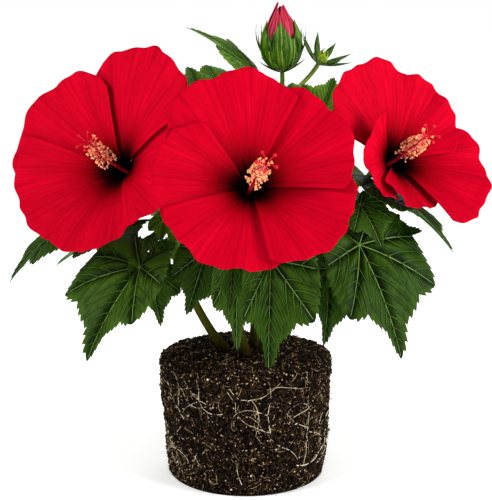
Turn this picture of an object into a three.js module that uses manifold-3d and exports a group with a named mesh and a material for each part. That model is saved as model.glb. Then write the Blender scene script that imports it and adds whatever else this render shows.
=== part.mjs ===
// A hardy hibiscus shrub, lifted out of its pot and standing on its own root ball.
// Millimetres, +Z up. The origin is the centre of the root ball's flat underside, and -Y is the front.
import * as THREE from "three";
import { mergeVertices } from "three/addons/utils/BufferGeometryUtils.js";
import Module from "manifold-3d";

const wasm = await Module();
wasm.setup();

// ---------------------------------------------------------------- driving dimensions
const GAP = 0.3; // between touching nodes

const BALL_TOP_RADIUS = 86; // a 17 cm nursery pot gave the root ball its shape
const BALL_FOOT_RADIUS = 78;
const BALL_HEIGHT = 122;
const BALL_EDGE = 9; // the rounded edge above
const FOOT_EDGE = 2.5; // and the tighter one below
const BALL_ROUGHNESS = 1.6;
const BALL_SIDES = 32;

const STEM_FOOT_RADIUS = 4.6;
const STEM_TIP_RADIUS = 2.2;
const ROOT_FLARE = 1.35; // how much wider the foot of a stem is than the stem above it
const LEG_END = 0.3; // the share of each stem below its first leaf
const LEG_SIDES = 8;

const PETIOLE_RADIUS = 1.3;
const LEAF_THICKNESS = 1.4;
const LEAF_DROOP = 25; // degrees that a blade bends down from its joint to its tip
const LEAF_FOLD = 18; // degrees that each half rises from the midrib
const SKIP_DISTANCE = 12; // a grown leaf this near another mass, a petal or a stem is left out
const OWN_DISTANCE = 8; // and this near a leaf of its own mass

const PETAL_THICKNESS = 1.2;
const PETAL_HALF_ANGLE = 50; // five petals of 100 degrees, so that neighbours overlap
const PETAL_TWIST = 4; // how far one edge stands above the other
const RUFFLE = 2.2;
const FUNNEL_RADIUS = 3; // of the throat where the petals start
const FUNNEL_ANGLES = [20, 64, 78]; // from the bloom's axis: in the throat, half way out, at the rim
const FUNNEL_REACH = 110; // along a petal, from the throat to the rim

const COLUMN_LENGTH = 76;
const COLUMN_RADIUS = 1.9;
const STAMENS = 8;
const CALYX_DEPTH = 24; // from the throat back to the end of the stem

// ---------------------------------------------------------------- small maths
const rad = THREE.MathUtils.degToRad;
const vec = (x, y, z) => new THREE.Vector3(x, y, z);
const UP = vec(0, 0, 1);

/** 0 to 1, flat at both ends. */
function smooth(t) {
  const c = Math.min(Math.max(t, 0), 1);
  return c * c * (3 - 2 * c);
}

/** The direction at a compass bearing (0 is +X, 90 is +Y) and an elevation, in degrees. */
function direction(bearing, elevation) {
  const flat = Math.cos(rad(elevation));
  return vec(
    Math.cos(rad(bearing)) * flat,
    Math.sin(rad(bearing)) * flat,
    Math.sin(rad(elevation)),
  );
}

/** Numbers from 0 to 1 that are the same for the same seed. */
function seeded(seed) {
  let state = seed >>> 0;
  return () => {
    state = (state + 0x6d2b79f5) >>> 0;
    let t = state;
    t = Math.imul(t ^ (t >>> 15), t | 1);
    t ^= t + Math.imul(t ^ (t >>> 7), t | 61);
    return ((t ^ (t >>> 14)) >>> 0) / 4294967296;
  };
}

// ---------------------------------------------------------------- closed shapes
/** A geometry from a list of points and a list of triangles of their numbers. */
function geometryOf(points, triangles) {
  const geometry = new THREE.BufferGeometry().setFromPoints(points);
  return geometry.setIndex(triangles.flat());
}

/** A closed skin over rings of equal count, capped by fans; each ring runs anticlockwise seen from the end. */
function skin(rings) {
  const n = rings[0].length;
  const points = rings.flat();
  const triangles = [];
  for (let r = 0; r < rings.length - 1; r++)
    for (let i = 0; i < n; i++) {
      const a = r * n + i;
      const b = r * n + ((i + 1) % n);
      triangles.push([a, b, a + n], [b, b + n, a + n]);
    }
  const last = (rings.length - 1) * n;
  for (let i = 1; i < n - 1; i++) {
    triangles.push([0, i + 1, i]);
    triangles.push([last, last + i, last + i + 1]);
  }
  return geometryOf(points, triangles);
}

/** A limb of round section along a curve, its radius given for each share of the length. */
function limb(curve, radius, sides, steps, from = 0, to = 1) {
  const rings = [];
  let side = null;
  for (let k = 0; k <= steps; k++) {
    const u = from + ((to - from) * k) / steps;
    const along = curve.getTangent(u);
    if (!side) side = vec(1, 0, 0).cross(along);
    side.addScaledVector(along, -side.dot(along)).normalize();
    const other = along.clone().cross(side);
    const centre = curve.getPoint(u);
    const ring = [];
    for (let i = 0; i < sides; i++) {
      const a = (2 * Math.PI * i) / sides;
      ring.push(
        centre
          .clone()
          .addScaledVector(side, radius(u) * Math.cos(a))
          .addScaledVector(other, radius(u) * Math.sin(a)),
      );
    }
    rings.push(ring);
  }
  return skin(rings);
}

/** A pin from one point to another that ends in a bulb: a stamen, a style or a bract. */
function club(from, to, thin, bulb, sides = 4) {
  const along = new THREE.LineCurve3(from, to);
  const radius = (u) => (u > 0.99 ? thin * 0.6 : u > 0.6 ? bulb : thin);
  return limb(along, radius, sides, 3);
}

/** A closed sheet between two surfaces: front and back give a point for each share along and across. */
function sheet(front, back, alongSteps, acrossSteps) {
  const points = [];
  const row = acrossSteps + 1;
  for (const face of [front, back])
    for (let i = 0; i <= alongSteps; i++)
      for (let j = 0; j <= acrossSteps; j++)
        points.push(face(i / alongSteps, j / acrossSteps));
  const layer = (alongSteps + 1) * row;
  const triangles = [];
  for (let i = 0; i < alongSteps; i++)
    for (let j = 0; j < acrossSteps; j++) {
      const a = i * row + j;
      triangles.push([a, a + row, a + 1], [a + 1, a + row, a + row + 1]);
      const b = a + layer;
      triangles.push([b, b + 1, b + row], [b + 1, b + row + 1, b + row]);
    }
  const edge = [];
  for (let j = 0; j < acrossSteps; j++) edge.push(j);
  for (let i = 0; i < alongSteps; i++) edge.push(i * row + acrossSteps);
  for (let j = acrossSteps; j > 0; j--) edge.push(alongSteps * row + j);
  for (let i = alongSteps; i > 0; i--) edge.push(i * row);
  edge.forEach((a, k) => {
    const b = edge[(k + 1) % edge.length];
    triangles.push([a, b, a + layer], [b, b + layer, a + layer]);
  });
  return geometryOf(points, triangles);
}

/** A geometry as a solid that can be joined to others. */
function solidOf(geometry) {
  const merged = mergeVertices(
    new THREE.BufferGeometry()
      .setAttribute("position", geometry.getAttribute("position"))
      .setIndex(geometry.index),
    1e-4,
  );
  const mesh = new wasm.Mesh({
    numProp: 3,
    vertProperties: merged.attributes.position.array,
    triVerts: new Uint32Array(merged.index.array),
  });
  return new wasm.Manifold(mesh);
}

/** Closed geometries joined into one. */
function fused(geometries) {
  const solid = geometries.map(solidOf).reduce((whole, piece) => whole.add(piece));
  const mesh = solid.getMesh();
  return new THREE.BufferGeometry()
    .setAttribute("position", new THREE.BufferAttribute(mesh.vertProperties, 3))
    .setIndex(new THREE.BufferAttribute(mesh.triVerts, 1));
}

// ---------------------------------------------------------------- materials
const finish = (color, roughness) => new THREE.MeshStandardMaterial({ color, roughness });
const PEAT = finish("#2f241b", 0.95);
const STEM = finish("#4c5a23", 0.6);
const LEAF = finish("#2f521a", 0.45);
const PETAL = finish("#d0051f", 0.5);
const POLLEN = finish("#eaa35c", 0.7);
const CALYX = finish("#5b7d2a", 0.55);
const BUD = finish("#c4193f", 0.5);

const plant = new THREE.Group();

/** A named node of the plant, in the plant's own frame unless a group is given. */
function node(name, geometry, material, parent = plant) {
  const mesh = new THREE.Mesh(geometry, material);
  mesh.name = name;
  parent.add(mesh);
  return mesh;
}

// ---------------------------------------------------------------- root ball
function rootBall() {
  const side = (z) =>
    BALL_FOOT_RADIUS + (BALL_TOP_RADIUS - BALL_FOOT_RADIUS) * (z / BALL_HEIGHT);
  const profile = [new THREE.Vector2(0, 0)];
  for (let k = 0; k <= 3; k++) {
    const a = (Math.PI / 2) * (k / 3);
    const out = side(FOOT_EDGE) - FOOT_EDGE * (1 - Math.sin(a));
    profile.push(new THREE.Vector2(out, FOOT_EDGE * (1 - Math.cos(a))));
  }
  for (let k = 1; k <= 4; k++) {
    const z = FOOT_EDGE + ((BALL_HEIGHT - BALL_EDGE - FOOT_EDGE) * k) / 5;
    profile.push(new THREE.Vector2(side(z), z));
  }
  for (let k = 0; k <= 3; k++) {
    const a = (Math.PI / 2) * (k / 3);
    const out = side(BALL_HEIGHT - BALL_EDGE) - BALL_EDGE * (1 - Math.cos(a));
    profile.push(new THREE.Vector2(out, BALL_HEIGHT - BALL_EDGE * (1 - Math.sin(a))));
  }
  profile.push(new THREE.Vector2(BALL_TOP_RADIUS * 0.5, BALL_HEIGHT));
  profile.push(new THREE.Vector2(0, BALL_HEIGHT));
  const lathe = new THREE.LatheGeometry(profile, BALL_SIDES);
  lathe.deleteAttribute("normal");
  lathe.deleteAttribute("uv");
  const ball = mergeVertices(lathe.rotateX(Math.PI / 2), 1e-3);
  const place = ball.attributes.position;
  for (let i = 0; i < place.count; i++) {
    const p = vec().fromBufferAttribute(place, i);
    const a = Math.atan2(p.y, p.x);
    const lump =
      Math.sin(a * 5 + p.z * 0.05) +
      Math.sin(a * 11 - p.z * 0.11) * 0.7 +
      Math.sin(a * 17 + p.z * 0.2) * 0.5;
    // The lumps fade out at the foot, so that the underside stays flat, and a little at the top edge.
    const onSide = smooth(p.z / BALL_EDGE) * smooth((BALL_HEIGHT + 6 - p.z) / BALL_EDGE);
    const out = 1 + (BALL_ROUGHNESS * lump * 0.5 * onSide) / BALL_TOP_RADIUS;
    place.setXY(i, p.x * out, p.y * out);
  }
  node("root_ball", ball, PEAT);
}

// ---------------------------------------------------------------- blooms
// throat: where the petals meet; bearing and elevation: where the bloom looks; roll: of its first petal;
// lengths: of its petals, anticlockwise; leans: how much longer a petal is towards its anticlockwise
// edge; flaps: degrees that a petal's clockwise edge curls forward.
const BLOOMS = {
  left: {
    throat: vec(-108, -25, 305),
    bearing: -127,
    elevation: 22,
    roll: -14,
    lengths: [127, 121, 113, 101, 115],
    leans: [-0.16, 0.12, -0.1, -0.13, 0],
    flaps: [0, 0, 0, 0, 0],
  },
  middle: {
    throat: vec(2, -105, 297),
    bearing: -82,
    elevation: 31,
    roll: 18,
    lengths: [112, 103, 108, 107, 108],
    leans: [0, 0.09, -0.1, -0.04, 0],
    flaps: [0, 0, 0, 0, 0],
  },
  right: {
    throat: vec(131, -20, 311),
    bearing: -53,
    elevation: 27,
    roll: 26,
    lengths: [110, 83, 71, 103, 92],
    leans: [0.12, -0.06, 0, -0.05, 0.12],
    flaps: [0, 22, 0, 0, 0],
  },
};

/** How far out and how far forward a petal's midline is, at a distance along it from the throat. */
function funnel(distance, flap) {
  const steps = 24;
  const [narrow, wide, rim] = FUNNEL_ANGLES;
  let out = FUNNEL_RADIUS;
  let forward = 0;
  for (let k = 0; k < steps; k++) {
    const q = (distance * (k + 0.5)) / steps / FUNNEL_REACH;
    const opened = (wide - narrow) * smooth(q / 0.35) + (rim - wide) * smooth((q - 0.45) / 0.55);
    const angle = rad(narrow + opened - flap * smooth(q / 0.5));
    out += (Math.sin(angle) * distance) / steps;
    forward += (Math.cos(angle) * distance) / steps;
  }
  return [out, forward];
}

/** A point of a petal's middle surface in its bloom's frame; across runs from -1, the edge on top, to 1. */
function petalPoint(share, across, { centre, length, lean, flap }) {
  const margin = 1 - 0.16 * Math.abs(across) ** 2.6 + lean * across;
  const [out, forward] = funnel(share * margin * length, flap * smooth((0.3 - across) / 1.3));
  const half = PETAL_HALF_ANGLE * (0.42 + 0.58 * smooth(share / 0.45));
  const angle = rad(centre + half * across);
  const twist = -PETAL_TWIST * smooth(share / 0.4) * across;
  const ruffle = RUFFLE * Math.sin(angle * 11) * share ** 3;
  return vec(out * Math.cos(angle), out * Math.sin(angle), forward + twist + ruffle);
}

/** The shape of a bloom's petal, numbered anticlockwise from 0. */
const petalShape = (bloom, i) => ({
  centre: 90 + 72 * i,
  length: bloom.lengths[i],
  lean: bloom.leans[i],
  flap: bloom.flaps[i],
});

function petal(shape) {
  const step = 1e-3;
  const face = (side) => (u, v) => {
    const across = 2 * v - 1;
    const at = (s, t) => petalPoint(s, t, shape);
    const p = at(u, across);
    const along = at(u + step, across).sub(at(u - step, across));
    const over = at(u, across + step).sub(at(u, across - step));
    return p.addScaledVector(along.cross(over).normalize(), (side * PETAL_THICKNESS) / 2);
  };
  return sheet(face(1), face(-1), 6, 5);
}

/** The red column with its stamens, and five styles with round stigmas at its tip. */
function column() {
  const random = seeded(5);
  const shaft = new THREE.QuadraticBezierCurve3(
    vec(0, 0, 0.6),
    vec(0, 0, COLUMN_LENGTH * 0.5),
    vec(0, COLUMN_LENGTH * 0.06, COLUMN_LENGTH * 0.86),
  );
  const pieces = [limb(shaft, (u) => COLUMN_RADIUS * (1 - 0.45 * u), 5, 4)];
  for (let k = 0; k < STAMENS; k++) {
    const u = 0.52 + (0.44 * k) / STAMENS;
    const root = shaft.getPoint(u);
    const tip = root
      .clone()
      .add(direction(137.5 * k, 20 + 25 * random()).multiplyScalar(6.5 + 2.5 * random()));
    pieces.push(club(root, tip, 0.45, 1.3, 3));
  }
  for (let k = 0; k < 5; k++) {
    const root = shaft.getPoint(0.98);
    const tip = root.clone().add(direction(72 * k, 52).multiplyScalar(COLUMN_LENGTH * 0.15));
    pieces.push(club(root, tip, 0.6, 1.5, 3));
  }
  return fused(pieces);
}

/** A cup of green lobes: its outer profile runs up to the valleys and then on to the tips. */
function lobedCup(profile, tips, wall, floor) {
  const around = 10;
  const ring = (out, height) => {
    const points = [];
    for (let i = 0; i < around; i++) {
      const a = (2 * Math.PI * i) / around;
      const [r, z] = i % 2 ? [out[1], height[1]] : [out[0], height[0]];
      points.push(vec(Math.cos(a) * r, Math.sin(a) * r, z));
    }
    return points;
  };
  const level = (r, z) => ring([r, r], [z, z]);
  const [tip, valley] = tips;
  const inner = profile.slice(1).reverse();
  return skin([
    ...profile.map(([r, z]) => level(r, z)),
    ring([tip[0], valley[0]], [tip[1], valley[1]]),
    ring([tip[0] - wall, valley[0] - wall], [tip[1], valley[1]]),
    ...inner.map(([r, z]) => level(r - wall, Math.max(z, floor))),
  ]);
}

/** Thin bracts that stand round a bud or a bloom. */
function bracts(count, from, to) {
  const made = [];
  for (let k = 0; k < count; k++) {
    const a = (360 * k) / count + 12;
    const root = direction(a, 0).multiplyScalar(from[0]).setZ(from[1]);
    const end = direction(a, 0).multiplyScalar(to[0]).setZ(to[1]);
    made.push(club(root, end, 0.9, 0.8, 3));
  }
  return made;
}

/** The green cup behind a bloom, its five lobes, and the thin bracts round it. */
function calyx() {
  const profile = [
    [STEM_TIP_RADIUS, -CALYX_DEPTH + GAP],
    [4.2, -14],
    [6.6, -8],
    [9.2, -1],
  ];
  const cup = lobedCup(profile, [[20, 15], [12.4, 4]], 1.1, -2);
  return fused([cup, ...bracts(6, [4.4, -11.5], [17, 3])]);
}

/** The frame of a thing that looks along axis: its own +Z is the axis, and roll turns its first petal. */
function frameAlong(origin, axis, roll) {
  const side = UP.clone().cross(axis).normalize();
  const over = axis.clone().cross(side);
  const frame = new THREE.Group();
  frame.position.copy(origin);
  frame.quaternion.setFromRotationMatrix(new THREE.Matrix4().makeBasis(side, over, axis));
  frame.rotateZ(rad(roll));
  frame.updateMatrixWorld(true);
  return frame;
}

for (const bloom of Object.values(BLOOMS)) {
  bloom.axis = direction(bloom.bearing, bloom.elevation);
  bloom.frame = frameAlong(bloom.throat, bloom.axis, bloom.roll);
  bloom.base = bloom.throat.clone().addScaledVector(bloom.axis, -CALYX_DEPTH);
}

function blooms() {
  for (const [side, bloom] of Object.entries(BLOOMS)) {
    const name = "bloom_" + side;
    for (let i = 0; i < 5; i++)
      node(`${name}_petal_${i + 1}`, petal(petalShape(bloom, i)), PETAL, bloom.frame);
    node(name + "_column", column(), POLLEN, bloom.frame);
    node(name + "_calyx", calyx(), CALYX, bloom.frame);
    plant.add(bloom.frame);
  }
}

// ---------------------------------------------------------------- buds
const BUD_TOP = { base: vec(36, 40, 399), axis: direction(-110, 83) };
const BUD_SIDE = { base: vec(71, 38, 406), axis: direction(-35, 58) };
const BUD_BACK = { base: vec(-12, 92, 318), axis: direction(95, 50) };

/** The big bud about to open: a furled cone of petals in a ribbed green cup. */
function topBud() {
  const frame = frameAlong(BUD_TOP.base, BUD_TOP.axis, 0);
  const profile = [
    [STEM_TIP_RADIUS, GAP],
    [11, 4],
    [18.5, 13],
    [21, 24],
    [20, 34],
  ];
  const cup = lobedCup(profile, [[13.5, 51], [18.6, 39]], 1.2, 9);
  node("bud_top_calyx", fused([cup, ...bracts(8, [9, 5], [25, 24])]), CALYX, frame);
  const cone = [
    [0, 9.6],
    [9, 9.6],
    [16.2, 18],
    [18.2, 28],
    [15.5, 40],
    [9, 54],
    [3.6, 64],
    [0, 66.5],
  ].map(([r, z]) => new THREE.Vector2(r, z));
  const petals = new THREE.LatheGeometry(cone, 10).rotateX(Math.PI / 2);
  node("bud_top_petals", petals, BUD, frame);
  plant.add(frame);
}

/** A small green bud with long bracts. */
function smallBud(name, { base, axis }, size) {
  const frame = frameAlong(base, axis, 20);
  const egg = [
    [0, GAP],
    [STEM_TIP_RADIUS * 0.7, GAP],
    [size * 0.42, size * 0.25],
    [size * 0.5, size * 0.6],
    [size * 0.3, size * 1.05],
    [0, size * 1.35],
  ].map(([r, z]) => new THREE.Vector2(r, z));
  const body = new THREE.LatheGeometry(egg, 8).rotateX(Math.PI / 2);
  node(name, fused([body, ...bracts(6, [size * 0.3, size * 0.25], [size * 1.6, size * 1.15])]), CALYX, frame);
  plant.add(frame);
}

function buds() {
  topBud();
  smallBud("bud_side", BUD_SIDE, 15);
  smallBud("bud_back", BUD_BACK, 16);
}

// ---------------------------------------------------------------- stems
// Each stem is a curve from the top of the root ball to what it carries.
const approach = ({ base, axis }, distance) => base.clone().addScaledVector(axis, -distance);
const STEMS = {
  left: [vec(-21, 3, 0), vec(-90, 12, 215), approach(BLOOMS.left, 42), BLOOMS.left.base],
  middle: [vec(0, -15, 0), vec(-22, -10, 205), approach(BLOOMS.middle, 45), BLOOMS.middle.base],
  right: [vec(15, -2, 0), vec(62, 10, 200), approach(BLOOMS.right, 42), BLOOMS.right.base],
  bud: [vec(7, 14, 0), vec(12, 26, 200), approach(BUD_TOP, 60), BUD_TOP.base],
  back: [vec(-9, 20, 0), vec(-16, 48, 180), approach(BUD_BACK, 50), BUD_BACK.base],
};
for (const [name, points] of Object.entries(STEMS)) {
  points[0].setZ(BALL_HEIGHT + GAP);
  STEMS[name] = new THREE.CubicBezierCurve3(...points);
}

/** A stem's radius for a share of its length, with the flare of its foot. */
const stemRadius = (u) =>
  STEM_FOOT_RADIUS +
  (STEM_TIP_RADIUS - STEM_FOOT_RADIUS) * u +
  STEM_FOOT_RADIUS * (ROOT_FLARE - 1) * (1 - smooth(u / 0.08));

/** The leg of a stem, from a flat cut on the root ball to where its leaves begin. */
function stems() {
  for (const [name, curve] of Object.entries(STEMS)) {
    const leg = limb(curve, stemRadius, LEG_SIDES, 6, 0, LEG_END);
    const place = leg.attributes.position;
    for (let i = 0; i < LEG_SIDES; i++) place.setZ(i, BALL_HEIGHT + GAP);
    node("stem_" + name, leg, STEM);
  }
}

// ---------------------------------------------------------------- leaves
// A blade's outline round its joint: degrees from the midrib and share of the blade's length.
const OUTLINE = [
  [0, 1],
  [10, 0.74],
  [31, 0.66],
  [46, 0.78],
  [82, 0.6],
  [135, 0.44],
  [180, 0.09],
];

/** A point of a blade in its own frame: X along the midrib, Z out of its upper side. */
function bladePoint(x, y, length) {
  const bend = rad(LEAF_DROOP) / length;
  const turn = bend * x;
  const half = Math.abs(y);
  const lift = half * Math.sin(rad(LEAF_FOLD)) - (half * half * 0.6) / length;
  return vec(
    Math.sin(turn) / bend,
    y * Math.cos(rad(LEAF_FOLD)),
    lift - (1 - Math.cos(turn)) / bend,
  );
}

/** A leaf: the joint of its blade, the blade's length, and where it points, how it hangs and where it faces. */
function leaf(joint, length, heading, hang, face, left = 1, right = 1) {
  const along = direction(heading, -hang);
  const out = direction(face, 40);
  out.addScaledVector(along, -out.dot(along)).normalize();
  const matrix = new THREE.Matrix4().makeBasis(along, out.clone().cross(along), out);
  matrix.setPosition(joint);
  const at = (angle, share) =>
    bladePoint(
      share * length * Math.cos(rad(angle)),
      share * length * Math.sin(rad(angle)) * (angle > 0 ? left : right),
      length,
    ).applyMatrix4(matrix);
  return { joint, length, along, out, at };
}

/** The blade as a closed solid. */
function blade(leaf) {
  const rim = [
    ...OUTLINE.map(([angle, share]) => [angle, share]),
    ...OUTLINE.slice(1, -1).reverse().map(([angle, share]) => [-angle, share]),
  ];
  const n = rim.length;
  const points = [];
  for (const side of [0.5, -0.5]) {
    const lift = leaf.out.clone().multiplyScalar(side * LEAF_THICKNESS);
    points.push(leaf.at(0, 0).add(lift));
    for (const share of [0.5, 1])
      for (const [angle, far] of rim) points.push(leaf.at(angle, far * share).add(lift));
  }
  const layer = 1 + 2 * n;
  const triangles = [];
  for (let i = 0; i < n; i++) {
    const a = 1 + i;
    const b = 1 + ((i + 1) % n);
    triangles.push([0, a, b], [a, a + n, b], [b, a + n, b + n]);
    const [c, d] = [a + layer, b + layer];
    triangles.push([layer, d, c], [c, d, c + n], [d, d + n, c + n]);
    triangles.push([a + n, c + n, b + n], [b + n, c + n, d + n]);
  }
  return geometryOf(points, triangles);
}

/** Where a petiole leaves its stem: as far below the blade's joint as suits its length. */
function attachPoint(curve, joint) {
  let best = LEG_END + 0.03;
  let least = Infinity;
  for (let u = LEG_END + 0.03; u < 0.93; u += 0.02) {
    const p = curve.getPoint(u);
    const flat = Math.hypot(joint.x - p.x, joint.y - p.y);
    const miss = Math.abs(joint.z - p.z - 0.4 * flat) + 0.2 * flat;
    if (miss < least) {
      least = miss;
      best = u;
    }
  }
  return best;
}

function petioleCurve(curve, leaf) {
  const start = curve.getPoint(attachPoint(curve, leaf.joint));
  const middle = start.clone().lerp(leaf.joint, 0.5);
  middle.z += 0.12 * start.distanceTo(leaf.joint);
  const end = leaf.at(0, 0.04).addScaledVector(leaf.out, -0.2 * LEAF_THICKNESS);
  return new THREE.QuadraticBezierCurve3(start, middle, end);
}

/** Points spread over a leaf's blade and along its petiole, for the test of what is near it. */
function leafSamples(curve, leaf) {
  const samples = [];
  OUTLINE.forEach(([angle, far], i) => {
    const [nextAngle, nextFar] = OUTLINE[Math.min(i + 1, OUTLINE.length - 1)];
    for (const [a, reach] of [[angle, far], [(angle + nextAngle) / 2, (far + nextFar) / 2]])
      for (const share of [0.2, 0.4, 0.6, 0.8, 1])
        for (const side of [-1, 1]) samples.push(["blade", leaf.at(side * a, share * reach)]);
  });
  const petiole = petioleCurve(curve, leaf);
  for (const u of [0.1, 0.2, 0.3, 0.45, 0.6, 0.75, 0.9]) samples.push(["petiole", petiole.getPoint(u)]);
  return samples;
}

// What a leaf has to keep clear of: [owner, kind, point].
const taken = [];
for (const bloom of Object.values(BLOOMS))
  for (let i = 0; i < 5; i++)
    for (let a = 1; a <= 7; a++)
      for (let b = 0; b <= 6; b++) {
        const p = petalPoint(a / 7, b / 3 - 1, petalShape(bloom, i));
        taken.push(["bloom", "petal", bloom.frame.localToWorld(p)]);
      }
for (const { base, axis } of [BUD_TOP, BUD_SIDE, BUD_BACK, ...Object.values(BLOOMS)])
  for (let k = 0; k < 6; k++)
    for (const up of [2, 14]) {
      const ring = direction(60 * k, 0).multiplyScalar(0.9 * up + 3);
      taken.push(["cup", "calyx", base.clone().addScaledVector(axis, up).add(ring)]);
    }
for (const [name, curve] of Object.entries(STEMS))
  for (let k = 0; k <= 40; k++) taken.push([name, "stem", curve.getPoint(k / 40)]);

/** Whether a leaf has room: blades keep off blades of their own mass, and everything off other masses. */
function hasRoom(owner, samples) {
  return samples.every(([kind, p]) =>
    taken.every(([other, what, q]) => {
      if (other !== owner) return p.distanceTo(q) > SKIP_DISTANCE;
      return kind !== "blade" || what !== "blade" || p.distanceTo(q) > OWN_DISTANCE;
    }),
  );
}

function claim(owner, samples) {
  for (const [kind, p] of samples) taken.push([owner, kind, p]);
}

// The leaves that shape the front: stem, then the joint's bearing, reach and height, the blade's
// length, the bearing it points to, the degrees it hangs, the bearing it faces, and how wide its left and
// its right half are, as shares of a full leaf's.
const FRONT_LEAVES = [
  ["left", -148, 117, 222, 101, -138, 41, -118, 0.62, 1.1],
  ["left", -150, 110, 220, 58, -48, 58, -62, 0.9, 0.6],
  ["left", -177, 170, 255, 87, 186, 31, 190, 1, 1],
  ["middle", -128, 60, 236, 66, -128, 62, -75, 0.9, 0.7],
  ["middle", -98, 94, 243, 56, -85, 73, -60, 0.6, 0.6],
  ["middle", -94, 76, 236, 92, -112, 74, -110, 0.5, 0.45],
  ["middle", -78, 108, 238, 101, -96, 67, -95, 0.76, 0.42],
  ["right", -22, 84, 214, 76, -85, 56, -50, 0.85, 0.6],
  ["right", -32, 124, 244, 114, -42, 54, -66, 1, 0.72],
  ["right", -9, 128, 240, 46, -25, -24, -50, 1, 1],
  ["right", -30, 122, 281, 46, -52, 40, -68, 1, 0.9],
  ["right", -4, 130, 286, 99, -36, 18, -15, 1, 1],
  ["bud", 76, 34, 392, 86, 172, -50, -15, 0.7, 0.7],
  ["bud", 144, 50, 368, 58, 114, -50, -60, 1, 1],
  ["bud", 20, 76, 352, 52, 40, -60, -60, 1, 1],
  ["back", 108, 74, 372, 62, 172, -22, -78, 1, 1],
];

// The rest of the crown grows by rule: how many leaves each stem tries, and the bearings between which
// they spread, anticlockwise.
const GROWN_LEAVES = {
  left: [34, 55, 215],
  right: [34, -40, 125],
  bud: [40, -30, 215],
  back: [40, -20, 200],
  middle: [8, 20, 160],
};
const GOLDEN_SHARE = 0.618;
// How far a grown leaf's joint is from its stem, the blade's length, and its angles in degrees. Low on the
// stem the leaves are longer and reach further out.
const REACH = { least: 24, low: 44, spread: 18, rise: 22 };
const LENGTH = { top: 60, low: 30, spread: 16 };
const HANG = { least: 12, spread: 42 };
const HEADING_SPREAD = 50;
// The space of the grown leaves: behind the blooms, and inside the plant's round.
const SPACE = { front: -18, radius: 205, low: 170, high: 420 };

/** A stem's leaf number k of count: each is a golden share round from the last, and further up. */
function grownLeaf(curve, k, count, from, to, random) {
  const up = (k + 0.5) / count;
  const root = curve.getPoint(0.34 + 0.6 * up);
  const bearing = from + (to - from) * ((k * GOLDEN_SHARE) % 1);
  const reach = REACH.least + REACH.low * (1 - up) * random() + REACH.spread * random();
  const length = LENGTH.top + LENGTH.low * (1 - up) + LENGTH.spread * (random() - 0.5);
  const joint = root.clone().add(direction(bearing, REACH.rise).multiplyScalar(reach));
  const hang = HANG.least + HANG.spread * random();
  const heading = bearing + HEADING_SPREAD * (random() - 0.5);
  return leaf(joint, length, heading, hang, heading);
}

const inSpace = (p) =>
  p.y > SPACE.front && Math.hypot(p.x, p.y) < SPACE.radius && p.z > SPACE.low && p.z < SPACE.high;

/** Tries the grown leaves of all stems by turns, and keeps those that have room. */
function growLeaves(leaves) {
  const names = Object.keys(GROWN_LEAVES);
  const streams = names.map((name, i) => seeded(40 + i));
  const mostTries = Math.max(...Object.values(GROWN_LEAVES).map(([count]) => count));
  for (let k = 0; k < mostTries; k++)
    names.forEach((name, i) => {
      const [count, from, to] = GROWN_LEAVES[name];
      if (k >= count) return;
      const made = grownLeaf(STEMS[name], k, count, from, to, streams[i]);
      const samples = leafSamples(STEMS[name], made);
      if (samples.every(([, p]) => inSpace(p)) && hasRoom(name, samples)) {
        leaves[name].push(made);
        claim(name, samples);
      }
    });
}

/** The twig that carries the small bud beside the big one. */
function sideBudBranch(curve) {
  const start = curve.getPoint(0.86);
  const end = BUD_SIDE.base.clone();
  const middle = BUD_SIDE.base.clone().addScaledVector(BUD_SIDE.axis, -16);
  return new THREE.QuadraticBezierCurve3(start, middle, end);
}

function foliage() {
  const leaves = {};
  for (const name of Object.keys(STEMS)) leaves[name] = [];
  for (const [name, bearing, reach, height, length, heading, hang, face, left, right] of FRONT_LEAVES) {
    const joint = direction(bearing, 0).multiplyScalar(reach).setZ(height);
    const made = leaf(joint, length, heading, hang, face, left, right);
    leaves[name].push(made);
    claim(name, leafSamples(STEMS[name], made));
  }
  growLeaves(leaves);
  for (const [name, curve] of Object.entries(STEMS)) {
    const start = LEG_END + GAP / curve.getLength();
    const pieces = [limb(curve, stemRadius, 6, 9, start, 1 - GAP / curve.getLength())];
    for (const made of leaves[name]) {
      const taper = (u) => PETIOLE_RADIUS * (1.15 - 0.3 * u);
      pieces.push(limb(petioleCurve(curve, made), taper, 4, 4));
      pieces.push(blade(made));
    }
    if (name === "bud") pieces.push(limb(sideBudBranch(curve), () => 1.6, 4, 4));
    node("foliage_" + name, fused(pieces), LEAF);
  }
}

rootBall();
stems();
blooms();
buds();
foliage();

export default plant;
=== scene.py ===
# %% [markdown]
# # A hardy hibiscus on its root ball
# A young shrub lifted out of its pot: a ball of peat held by its own roots, five green stems, lobed and
# toothed leaves, three wide red blooms, a fat bud and two small ones. The solid model fixes where each
# part is. This lesson grows the same plant again, finer, around it, by the same rule and from the same
# seeds, and gives each surface its own finish.

# %% The frame
import math
import bpy
import numpy as np
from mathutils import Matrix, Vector, noise


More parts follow.
